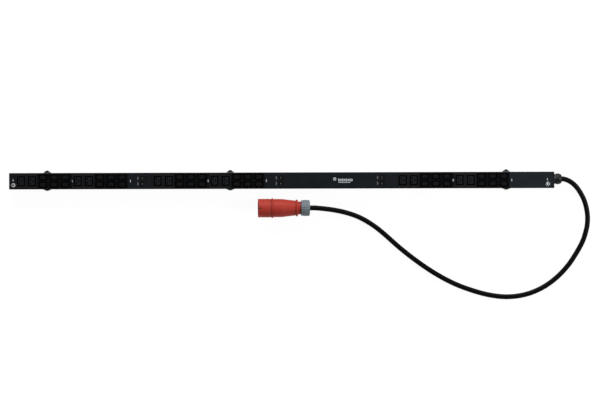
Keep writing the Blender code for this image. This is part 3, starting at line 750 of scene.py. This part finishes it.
def case_below(width, bezel, opening):
    """The plain case that an outlet has under its bezel, open at its top."""
    # The case under the bezel is painted shade, near black.
    skirt = plate(bezel, opening, -6.5, BEZEL_UNDERSIDE)
    hollow = rectangle(width - 0.8, CASE_WIDTH - 0.8)
    wall = plate(rectangle(width, CASE_WIDTH), [hollow], CASE_LOW, -1.2)
    floor = plate(rectangle(width - 0.4, CASE_WIDTH - 0.4), [], CASE_LOW, CASE_LOW + 1.2)
    return [(skirt, PAINTED_WELL_SHADE, SAME), (wall, PAINTED_WELL_SHADE, SAME), (floor, PAINTED_WELL_SHADE, SAME)]


def leaves(centre, slot):
    """The two sprung contact leaves inside a slot."""
    width, height = slot
    strip = plate(rectangle(0.35, height - 0.7), [], -12.5, -4.0, 0.12, 1)
    out = []
    for side in (-1, 1):
        x = centre[0] + side * (width / 2 - 0.45)
        out.append((shifted(strip, x, centre[1]), CONTACT, SAME))
    return out


def large_outlet_mesh():
    def around(width, height, radius, steps=6):
        """An outline round the recess, which stands a little off the module's middle."""
        return eased(rectangle(width, height, (0.6, 0)), radius, steps)

    recess = around(26.8, 33.6, 3.2)
    outline = eased(rectangle(MODULE_LENGTH, MODULE_WIDTH), 0.9, 4)
    bezel = plate(outline, [recess], BEZEL_LOW, BEZEL_TOP, 0.25, 2)
    rim = plate(around(29.2, 36.0, 4.0), [recess], -0.6, 0.0, 0.28, 2)
    inside = eased(rectangle(33.8, 45.2), 0.8, 4)
    outer_rim = plate(eased(rectangle(36.0, 47.4), 0.9, 4), [inside], -0.6, -0.02, 0.22, 2)
    well = plate(around(28.4, 35.2, 3.8), [recess], WELL_LOW, WELL_TOP)
    floor = plate(around(27.4, 34.0, 3.4), [], FLOOR_LOW, FLOOR_TOP)
    places = ((-4.2, -6.5), (-4.2, 6.5), (4.2, 0.0))
    slots = [eased(rectangle(*LARGE_SLOT, place), 0.35, 2) for place in places]
    boss_outline = around(18.8, 26.0, 1.6, 5)
    boss = plate(boss_outline, slots, -1.8, -0.35, 0.35, 3)
    # The recess's walls and floor, the boss below its top and the walls of its slots are painted
    # shade, near black.
    stem = plate(boss_outline, slots, BOSS_LOW, -1.8)
    parts = [
        (bezel, OUTLET_FACE, SAME), (rim, OUTLET_FACE, SAME), (outer_rim, OUTLET_FACE, SAME),
        (well, PAINTED_WELL_SHADE, SAME), (floor, PAINTED_WELL_SHADE, SAME), (boss, OUTLET_CORE, SAME),
        (stem, PAINTED_WELL_SHADE, SAME),
    ]
    for place in places:
        parts += leaves(place, LARGE_SLOT)
    return joined("large_outlet", parts + case_below(29.0, outline, [recess]))


def small_outlet_parts(y, recess):
    """One small outlet of a pair, apart from the bezel that the two share."""
    def around(width, height, chamfer, nick, radius):
        return eased(keyed(width, height, chamfer, nick, (0, y)), radius, 3)

    places = ((-7.0, y + 2.2), (7.0, y + 2.2), (0.0, y - 3.0))
    slots = [eased(rectangle(*SMALL_SLOT, place), 0.3, 2) for place in places]
    rim = plate(around(30.6, 22.0, 6.6, 1.8, 0.9), [recess], -0.6, 0.0, 0.26, 2)
    well = plate(around(30.2, 21.8, 6.5, 1.6, 0.8), [recess], WELL_LOW, WELL_TOP)
    floor = plate(around(29.4, 21.0, 6.2, 1.4, 0.8), [], FLOOR_LOW, FLOOR_TOP)
    boss = plate(around(21.8, 13.4, 5.2, 1.0, 0.7), slots, BOSS_LOW, -0.45, 0.35, 3)
    # Each recess's well and floor are painted shade.
    parts = [
        (rim, SMALL_FACE, SAME), (well, PAINTED_WELL_SHADE, SAME),
        (floor, PAINTED_WELL_SHADE, SAME), (boss, SMALL_CORE, SAME),
    ]
    for place in places:
        parts += leaves(place, SMALL_SLOT)
    return parts


def small_pair_mesh(name, label=0.0):
    """Two small outlets in one module, which may be longer by a label's width."""
    outline = eased(rectangle(MODULE_LENGTH + label, MODULE_WIDTH, (label / 2, 0)), 0.9, 4)
    rows = (-12.0, 12.0)
    recesses = [eased(keyed(29.0, 20.6, 6.0, 1.2, (0, y)), 0.7, 3) for y in rows]
    parts = [(plate(outline, recesses, BEZEL_LOW, BEZEL_TOP, 0.25, 2), SMALL_FACE, SAME)]
    for y, recess in zip(rows, recesses):
        parts += small_outlet_parts(y, recess)
    return joined(name, parts + case_below(32.0, outline, recesses))


def make_outlets():
    large = large_outlet_mesh()
    small = small_pair_mesh("small_outlets")
    small_label = small_pair_mesh("small_outlets_label", LABEL)
    for node in sorted(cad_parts):
        if not node.startswith(("c19_outlet_", "c13_pair_")):
            continue
        low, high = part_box(node)
        wide = high.x - low.x > (MODULE_LENGTH + LABEL / 2) * MM
        if node.startswith("c19_outlet_"):
            name, mesh = "outlet_large_" + node[-2:], large
        else:
            name, mesh = "outlets_small_" + node[-2:], small_label if wide else small
        place = on_strip(low.x + MODULE_LENGTH * MM / 2)
        show(name, mesh, place=place, stands_for=[node])


# Breakers. Heights here are from the rocker's pivot.

PIVOT_Z = 0.0465
ROCKER_PITCH = 9.6
ROCKER_REST = math.radians(-12.0)
ROCKER_END = 7.3
ROCKER_HOLLOW = 1.7
ROCKER_RISE = 1.5


def breaker_mesh():
    """The two cases of a pair, with their rockers' windows."""
    windows = [eased(rectangle(16.4, 15.4, (0, y)), 0.7, 3) for y in (-ROCKER_PITCH, ROCKER_PITCH)]
    neck = plate(eased(rectangle(20.5, 38.2), 1.2, 4), windows, -5.4, 4.0, 0.5, 3)
    shoulder = plate(rectangle(50.0, 44.0), windows, -5.4, -1.8, 0.4, 2)
    case = plate(eased(rectangle(50.0, 44.0), 1.0, 3), [], -24.5, -5.3, 0.4, 2)
    # The case under the shoulder is painted shade, near black.
    return joined("breaker_case", [
        (neck, BREAKER_CASE, SAME), (shoulder, BREAKER_CASE, SAME), (case, PAINTED_WELL_SHADE, SAME),
    ])


def rocker_top(x):
    """The height of the rocker's top, a shallow hollow between two raised ends."""
    return ROCKER_HOLLOW + ROCKER_RISE * (abs(x) / ROCKER_END) ** 1.35


def rocker_mesh():
    steps = 12
    top = ROCKER_HOLLOW + ROCKER_RISE
    outline = [(-ROCKER_END, 0.2), (-2.2, -2.0), (2.2, -2.0), (ROCKER_END, 0.2), (ROCKER_END, top)]
    for k in range(1, steps):
        x = ROCKER_END - 2 * ROCKER_END * k / steps
        outline.append((x, rocker_top(x)))
    outline.append((-ROCKER_END, top))
    radii = [0.3, 0.6, 0.6, 0.3, 0.45] + [0.0] * (steps - 1) + [0.45]
    body = plate(eased(outline, radii, 3), [], -7.35, 7.35, 0.4, 3)
    shaft = lathe([(0, 8.5), (0.9, 8.5), (1.0, 8.4), (1.0, -8.4), (0.9, -8.5), (0, -8.5)], 16)
    bar = plate(eased(rectangle(1.3, 6.4), 0.3, 2), [], 0.0, 0.06)
    bar_x = -2.2
    bar_place = Matrix.Translation((bar_x * MM, 0, (rocker_top(bar_x) + 0.03) * MM))
    return joined("rocker", [
        (body, ROCKER, ALONG_MINUS_Y), (shaft, ROCKER, ALONG_MINUS_Y),
        (bar, INK_SOFT, bar_place @ Matrix.Rotation(0.17, 4, "Y")),
    ])


def make_breakers():
    case = breaker_mesh()
    rocker = rocker_mesh()
    rest = Matrix.Rotation(ROCKER_REST, 4, "Y")
    for pair, x in enumerate(BREAKER_XS):
        show(
            f"breaker_case_{pair + 1}", case, place=on_strip(x * MM, PIVOT_Z),
            stands_for=[f"breaker_housing_{pair + 1}"],
        )
        for row, y in enumerate((ROCKER_PITCH, -ROCKER_PITCH)):
            index = 2 * pair + row + 1
            place = on_strip(x * MM, PIVOT_Z, y * MM) @ rest
            show(
                f"rocker_{index}", rocker, body=f"rocker_{index}", place=place,
                stands_for=[f"breaker_rocker_{index}"],
            )


# Saddles with their buttons.


SADDLE_SIDE = 28.8
SADDLE_INNER = 27.3
SADDLE_TOP = 40.0
SADDLE_BACK = 1.5
SADDLE_LENGTH = 24.0


def button_parts():
    """The two buttons; heights are from the strip's middle line, along the buttons."""
    spacer = lathe([
        (5.0, 28.8), (9.8, 28.8), (10.0, 28.9), (10.0, 29.4), (9.8, 29.5), (5.0, 29.5),
    ], 40, closed=True)
    upper = lathe([
        (0, 35.5), (2.2, 35.5), (2.5, 35.2), (4.3, 35.2), (4.6, 35.45), (5.1, 35.1), (5.4, 34.7),
        (5.4, 32.7), (5.6, 32.4), (10.3, 31.7), (10.8, 31.5), (11.0, 31.2), (11.0, 30.1),
        (10.7, 29.8), (6.0, 29.5), (0, 29.5),
    ], 40)
    lower = lathe([
        (0, 32.5), (2.2, 32.5), (2.5, 32.2), (4.3, 32.2), (4.6, 32.45), (5.1, 32.1), (5.4, 31.7),
        (5.5, 31.0), (5.9, 30.7), (11.1, 29.6), (11.6, 29.3), (11.6, 29.0), (11.4, 28.8), (0, 28.8),
    ], 40)
    lift = Matrix.Translation((0, 0, MID_Z))
    return [
        (spacer, SEAL, lift @ ALONG_PLUS_Y), (upper, SADDLE_PAINT, lift @ ALONG_PLUS_Y),
        (lower, SADDLE_PAINT, lift @ ALONG_MINUS_Y),
    ]


def make_saddles():
    half = [(SADDLE_SIDE, 0.0), (SADDLE_SIDE, SADDLE_TOP), (SADDLE_INNER, SADDLE_TOP)]
    half.append((SADDLE_INNER, SADDLE_BACK))
    radii = [2.0, 0.5, 0.5, 0.5, 0.5, 0.5, 0.5, 2.0]
    section = eased(half + mirrored(half), radii, 5)
    band = plate(section, [], -SADDLE_LENGTH / 2, SADDLE_LENGTH / 2, 0.3, 2)
    # A pale strip along the top of one side only is a painted highlight.
    edge = plate(rectangle(23.2, 1.1), [], SADDLE_TOP - 0.2, SADDLE_TOP + 0.05, 0.1, 1)
    middle = (SADDLE_SIDE + SADDLE_INNER) / 2
    parts = [(band, SADDLE_PAINT, CROSS_SECTION), (shifted(edge, y=middle), SADDLE_EDGE_HIGHLIGHT, SAME)]
    parts += button_parts()
    rivet = lathe([(0, 0.9), (1.6, 0.8), (2.6, 0.4), (3.0, 0.0), (0, 0.0)], 28)
    for x in (-7.5, 7.5):
        for z in (12.0, 36.5):
            for y, way in ((28.7, ALONG_PLUS_Y), (-28.7, ALONG_MINUS_Y)):
                spot = Matrix.Translation((x * MM, y * MM, z * MM)) @ way
                parts.append((rivet, DARK_STEEL_AND_SHADE, spot))
    mesh = joined("saddle", parts)
    for number in (1, 2, 3):
        node = f"mounting_saddle_{number}"
        place = on_strip(middle_of(node).x * MM, 0.0)
        show(f"saddle_{number}", mesh, place=place, stands_for=[node])


# Ground screws.


def make_ground_screws():
    washer = lathe([
        (3.2, 1.2), (6.0, 1.2), (7.2, 1.4), (7.5, 1.1), (7.5, 0.6), (7.2, 0.35),
        (5.4, 0.05), (3.2, 0.05),
    ], 48, closed=True)

    def toothed(radius, height, turn):
        """Eighteen small teeth round the washer's rim, and none in its hole."""
        return radius if radius < 4.0 else radius + 0.16 * math.cos(18 * turn)

    star = lathe([
        (3.4, 1.75), (5.9, 1.75), (6.1, 1.55), (6.1, 1.3), (5.9, 1.15), (3.4, 1.15),
    ], 108, toothed, closed=True)
    head = plate(circle(5.1, 40), [circle(2.8, 6)], 1.6, 4.3, 0.8, 4)
    # The floor of the head's recess is painted shade.
    bottom = plate(circle(4.4, 24), [], 1.7, 2.2)
    shank = lathe([(0, 2.0), (3.0, 2.0), (3.0, -11.4), (2.4, -12.0), (0, -12.0)], 28)
    mesh = joined("ground_screw", [
        (washer, STEEL, SAME), (star, STEEL, SAME), (head, STEEL, SAME),
        (bottom, DARK_STEEL_AND_SHADE, SAME), (shank, STEEL, SAME),
    ])
    for number, (x, y) in enumerate(SCREW_PLACES):
        show(
            f"bond_screw_{number + 1}", mesh,
            place=on_strip(x * MM, FACE_Z, y * MM), stands_for=[f"ground_screw_{number + 1}"],
        )


# Gland. Heights here are along it, from the end cap.

GLAND_X = 0.9103
FLUTE_DEPTH = 0.8


def make_gland():
    place = on_strip(GLAND_X, MID_Z, GLAND_ACROSS) @ ALONG_X
    hexagon = plate(eased(circle(19.0, 6), 1.6, 5), [circle(9.0, 32)], 0.0, 6.5, 0.7, 3)
    gasket = plate(circle(15.2, 40), [circle(9.0, 32)], -0.25, 0.35, 0.1, 1)
    thread = lathe([(8.8, 16.0), (12.4, 16.0), (12.4, -15.0), (8.8, -15.0)], 40, closed=True)
    # The hexagon and the thread take the lighter copy, painted light.
    body = joined("gland_body_look", [
        (hexagon, GLAND_HEX_PAINTED_LIGHT, SAME), (gasket, SEAL, SAME), (thread, GLAND_HEX_PAINTED_LIGHT, SAME),
    ])
    show("gland_body_look", body, place=place, stands_for=["gland_body"])

    def fluted(radius, height, turn):
        """Twelve flutes round the nut's widest stretch."""
        if radius < 17.5 or not 7.4 < height < 15.2:
            return radius
        return radius - FLUTE_DEPTH * max(0.0, -math.cos(12 * turn)) ** 3

    profile = [
        (9.4, 25.7), (10.6, 25.7), (11.2, 25.55), (12.6, 25.0), (14.0, 24.0), (15.2, 22.5),
        (16.3, 20.6), (17.3, 18.0), (18.0, 15.9), (18.3, 14.4), (18.3, 8.2), (18.2, 7.5),
        (17.9, 6.95), (17.4, 6.8), (12.9, 6.8), (12.9, 18.0), (10.4, 22.0), (9.4, 23.0),
    ]
    nut = lathe(profile, 144, fluted, closed=True, angle=NUT_ANGLE)
    seal = lathe([
        (8.3, 25.1), (9.0, 25.5), (9.5, 25.2), (9.6, 22.0), (8.3, 22.0),
    ], 40, closed=True)
    mesh = joined("gland_nut_look", [(nut, GLAND_PLASTIC, SAME), (seal, SEAL, SAME)])
    show("gland_nut_look", mesh, place=place, stands_for=["gland_nut"])


# Plug. Heights are along its axis, towards the cord.

PLUG_SIDES = 96
PIN_COUNT = 5
PIN_CIRCLE = 14.0
NUT_RIBS = 20
NUT_RIB_DEPTH = 0.9


def show_on_plug(name, parts, node):
    """Adds a plug piece with its place worked into its mesh, so that its box is a close one."""
    mesh = joined(name, parts)
    mesh.transform(plug_frame() @ ALONG_X)
    show(name, mesh, stands_for=[node])


def plug_ring(radius, inside, low, high):
    profile = [(inside, low), (radius, low), (radius, high), (inside, high)]
    return lathe(profile, PLUG_SIDES, closed=True)


def make_plug_shroud():
    shroud = lathe([
        (30.8, -29.3), (33.3, -29.7), (33.7, -30.1), (33.7, -31.6), (33.3, -32.1), (32.5, -33.6),
        (32.2, -34.8), (31.0, -35.3), (30.1, -36.1), (30.1, -38.3), (30.9, -39.2), (31.1, -41.5),
        (30.9, -60.0), (30.8, -74.6), (31.0, -75.6), (31.2, -76.2),
        (31.2, -78.5), (30.9, -79.0), (29.1, -79.0), (28.7, -78.6), (28.7, -42.0), (24.4, -42.0),
        (24.0, -41.7), (24.0, -39.2), (28.7, -39.0), (28.7, -29.3),
    ], PLUG_SIDES, closed=True)
    notch = plate(rectangle(12.0, 5.4, (-31.0, 0.0)), [], -90.0, -69.5)
    # A darker band in the groove behind the flange: painted shade.
    band = plug_ring(30.2, 29.6, -36.3, -38.1)
    parts = [(cut(shroud, [notch]), RED, SAME), (band, RED_PAINTED_SHADE, SAME)]
    show_on_plug("plug_shroud_look", parts, "plug_shroud")


def make_plug_pins():
    carrier = lathe([
        (0, -20.0), (28.0, -20.0), (28.3, -20.4), (28.3, -38.6), (23.6, -38.7), (23.6, -43.6),
        (23.2, -44.0), (0, -44.0),
    ], 64)
    collars = [(carrier, OUTLET_FACE, SAME)]
    pins = []
    for index in range(PIN_COUNT):
        angle = math.pi + math.tau * index / PIN_COUNT
        x, y = PIN_CIRCLE * math.cos(angle), PIN_CIRCLE * math.sin(angle)
        # The first pin is the earth's, which is thicker and longer.
        radius, tip = (4.0, -74.5) if index == 0 else (3.0, -72.5)
        pin = lathe([
            (0, tip), (radius * 0.55, tip), (radius * 0.85, tip + 0.7), (radius, tip + 1.8),
            (radius, -43.2), (0, -43.2),
        ], 32)
        pins.append((shifted(pin, x, y), PIN_NICKEL_SHADED, SAME))
        collar = lathe([
            (radius + 0.1, -43.5), (radius + 1.5, -43.5), (radius + 1.5, -44.5),
            (radius + 1.2, -44.8), (radius + 0.4, -44.8), (radius + 0.1, -44.5),
        ], 32, closed=True)
        collars.append((shifted(collar, x, y), OUTLET_FACE, SAME))
    show_on_plug("plug_pin_carrier_look", collars + pins, "plug_pin_carrier")


def shell_screw():
    """A low round head with a hexagonal recess, its underside at height 0, and its floor."""
    ring = plate(circle(2.6, 32), [circle(1.2, 6)], -0.2, 0.9, 0.36, 3)
    floor = plate(circle(2.34, 24), [], -0.2, 0.225)
    return ring, floor


def make_plug_shell():
    shell = lathe([
        (20.0, 80.0), (20.0, 64.7), (21.3, 64.4), (21.5, 64.1), (21.5, 54.0), (22.0, 53.7),
        (26.3, 53.5), (27.4, 52.8), (28.1, 51.8), (28.3, 51.2), (28.3, 49.2), (28.0, 48.6),
        (26.6, 47.3), (25.0, 46.7), (24.4, 46.2), (24.4, 44.6), (25.2, 43.8), (25.5, 41.0),
        (25.9, 36.0), (26.5, 31.0), (27.5, 22.0), (28.6, 14.0), (29.4, 8.0), (30.0, 2.0),
        (30.2, -2.0), (30.35, -12.0), (30.4, -24.0), (30.4, -28.6), (30.1, -29.0),
        (28.8, -29.0), (28.6, -2.0), (26.0, 14.0), (22.5, 38.0), (17.0, 50.0), (17.0, 80.0),
    ], PLUG_SIDES, closed=True, angle=NUT_ANGLE)
    grooves = []
    for index in range(4):
        groove = plate(eased(rectangle(3.0, 2.2, (28.6, 0)), 0.5, 2), [], 47.0, 54.5)
        groove.transform(Matrix.Rotation(math.radians(45 + 90 * index), 4, "Z"))
        grooves.append(groove)
    parts = [(cut(shell, grooves), RED, SAME)]
    # Darker rings in the shell's groove and at the neck's end: painted shade.
    for radius, low, high in ((24.6, 44.7, 46.1), (21.7, 59.6, 64.2)):
        parts.append((plug_ring(radius, radius - 0.6, low, high), RED_PAINTED_SHADE, SAME))
    ring, floor = shell_screw()
    for side in (90, 270):
        spot = Matrix.Rotation(math.radians(side), 4, "Z")
        spot = spot @ Matrix.Translation((0.0295, 0, -0.0200)) @ ALONG_X
        # The recess floor is painted shade.
        parts += [(ring, STEEL, spot), (floor, DARK_STEEL_AND_SHADE, spot)]
    show_on_plug("plug_shell_look", parts, "plug_rear_shell")


def make_plug_nut():
    def ribbed(radius, height, turn):
        """Ribs round the nut, between its two plain ends."""
        if radius < 25.0 or height < 67.0 or height > 90.9:
            return radius
        return radius - NUT_RIB_DEPTH * (0.5 + 0.5 * math.cos(NUT_RIBS * turn)) ** 2.5

    nut = lathe([
        (9.6, 93.5), (11.5, 93.5), (23.0, 93.5), (24.3, 93.2), (25.4, 92.4), (26.2, 91.4),
        (26.7, 90.6), (26.9, 89.6), (26.9, 74.0), (26.8, 73.2), (26.4, 72.2), (26.2, 71.4),
        (26.2, 67.4), (26.2, 65.6), (25.8, 64.9), (25.2, 64.8), (20.6, 64.8), (20.6, 86.0),
        (9.6, 86.0),
    ], 8 * NUT_RIBS, ribbed, closed=True, angle=NUT_ANGLE)
    seal = lathe([
        (8.3, 93.2), (9.3, 93.6), (9.9, 93.3), (9.9, 88.0), (8.3, 88.0),
    ], 40, closed=True)
    parts = [(nut, GREY, SAME), (seal, SEAL, SAME)]
    show_on_plug("plug_nut_look", parts, "plug_gland_nut")


# Cord.


def make_cord():
    points = even(smooth_line(cord_route()), CORD_STEP)
    data = bpy.data.curves.new("cord", "CURVE")
    data.dimensions = "3D"
    data.bevel_depth = CORD_DIAMETER / 2
    data.bevel_resolution = 9
    data.use_fill_caps = True
    line = data.splines.new("POLY")
    line.points.add(len(points) - 1)
    for point, where in zip(line.points, points):
        point.co = (*where, 1.0)
    line.use_smooth = True
    data.materials.append(RUBBER)
    piece = linked("cord", data)
    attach(piece, "strip")
    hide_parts("power_cord")
    return piece


# Printed marks, in millimetres on the face.

MARK_TOP = -0.24
MARK_THICKNESS = 0.06
EARTH_PLACES = ((-896.5, 3.6), (886.8, 2.0))
BANK_MARK_XS = (-698.7, -505.0, -245.5, -51.0, 572.5, 768.0)
BREAKER_MARK_SHIFT = -17.0
EMBLEM_PLACE = (177.0, 1.5)


def printed(name, shapes, x, y, material=INK):
    parts = []
    for outer, holes in shapes:
        parts.append((plate(outer, holes, MARK_TOP - MARK_THICKNESS, MARK_TOP), material, SAME))
    show(name, joined(name, parts), place=on_strip(x * MM, FACE_Z, y * MM))


def earth_symbol():
    bars = ((1.2, 3.8, 2.4), (4.8, 1.0, 0.05), (3.2, 1.0, -1.55), (1.6, 1.0, -3.15))
    return [(rectangle(width, height, (0, y)), []) for width, height, y in bars]


def emblem():
    """A plain ring with a dot, a row of bars beside it and a line below them."""
    centre = (0, 3.5)
    shapes = [(circle(5.2, 32, centre), [circle(3.3, 28, centre)]), (circle(1.7, 20, centre), [])]
    for index in range(8):
        x = 14.0 + 6.2 * index
        height = 7.0 if index % 2 else 9.0
        hole = eased(rectangle(1.6, height * 0.4, (x, 0)), 0.4, 2)
        shapes.append((eased(rectangle(4.2, height, (x, 0)), 1.1, 3), [hole]))
    shapes.append((eased(rectangle(40.0, 1.6, (32.0, -8.0)), 0.6, 2), []))
    return shapes


def make_marks():
    for index, (x, y) in enumerate(EARTH_PLACES):
        printed(f"earth_symbol_{index + 1}", earth_symbol(), x, y)
    bank = [(eased(rectangle(2.2, 8.0), 0.4, 2), [eased(rectangle(0.9, 1.4, (0, 1.8)), 0.2, 2)])]
    for index, x in enumerate(BANK_MARK_XS):
        printed(f"bank_mark_{index + 1}", bank, x, 0.0)
    bars = [(eased(rectangle(1.3, 10.0, (side, 0)), 0.3, 2), []) for side in (-1.1, 1.1)]
    for pair, breaker_x in enumerate(BREAKER_XS):
        for row, y in enumerate((9.5, -9.5)):
            name = f"breaker_mark_{2 * pair + row + 1}"
            printed(name, bars, breaker_x + BREAKER_MARK_SHIFT, y, INK_SOFT)
    printed("abstract_mark", emblem(), *EMBLEM_PLACE)


# Nodes that keep their CAD shape.


def dress_cad_nodes():
    for name in ("busbar_rail", "terminal_block"):
        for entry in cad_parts[name].material_slots:
            entry.material = INSULATOR


# Floor, light and world.


FLOOR_SIZE = 28.0
FLOOR_Z = -0.0002
SEEN_WORLD = (0.96, 0.96, 0.96, 1.0)
WORLD_LIGHT = (0.10, 0.105, 0.11, 1.0)


def add_floor():
    mesh = bpy.data.meshes.new("floor")
    corners = [(x, y, FLOOR_Z) for x, y in rectangle(FLOOR_SIZE, FLOOR_SIZE)]
    mesh.from_pydata(corners, [], [(0, 1, 2, 3)])
    floor = linked("floor", mesh)
    mesh.materials.append(finish(
        "floor_pale", (0.10, 0.10, 0.10), (0.095, 0.095, 0.095), 0.8, 0.75, 0.05, 120.0, 0.00002,
        specular=0.0, wear=0.0, glow=0.945,
    ))


def add_light(name, place, target, size, power, colour=(1, 1, 1)):
    data = bpy.data.lights.new(name, "AREA")
    data.shape = "RECTANGLE"
    data.size, data.size_y = size
    data.energy = power
    data.color = colour
    direction = Vector(target) - Vector(place)
    turn = direction.to_track_quat("-Z", "Y").to_matrix().to_4x4()
    linked(name, data).matrix_world = Matrix.Translation(place) @ turn


def add_studio():
    add_light("key", (-0.2, 3.8, 2.4), (0, 0, 0), (4.5, 1.4), 250.0)
    add_light("fill", (0.2, -4.8, 2.6), (0, 0, 0), (8.0, 3.0), 70.0)
    add_light("right", (3.6, 0.2, 2.0), (0.5, 0, 0), (1.4, 2.6), 100.0, (0.92, 0.97, 1.0))
    add_light("left", (-4.2, 0.2, 2.2), (-0.4, 0, 0), (1.4, 2.6), 16.0)
    # The camera sees a pale world, which lights the object only dimly.
    world = bpy.data.worlds.new("studio")
    bpy.context.scene.world = world
    world.use_nodes = True
    tree = world.node_tree
    tree.nodes.clear()
    seen = tree.nodes.new("ShaderNodeBackground")
    seen.inputs["Color"].default_value = SEEN_WORLD
    glow = tree.nodes.new("ShaderNodeBackground")
    glow.inputs["Color"].default_value = WORLD_LIGHT
    ray = tree.nodes.new("ShaderNodeLightPath")
    mix = tree.nodes.new("ShaderNodeMixShader")
    out = tree.nodes.new("ShaderNodeOutputWorld")
    tree.links.new(ray.outputs["Is Camera Ray"], mix.inputs[0])
    tree.links.new(glow.outputs[0], mix.inputs[1])
    tree.links.new(seen.outputs[0], mix.inputs[2])
    tree.links.new(mix.outputs[0], out.inputs["Surface"])
    bpy.context.scene.view_settings.view_transform = "Standard"


add_camera()
cord_piece = make_cord()
make_chassis()
make_end_caps()
make_covers()
make_outlets()
make_breakers()
make_saddles()
make_ground_screws()
make_gland()
make_plug_shroud()
make_plug_pins()
make_plug_shell()
make_plug_nut()
make_marks()
dress_cad_nodes()
add_floor()
add_studio()
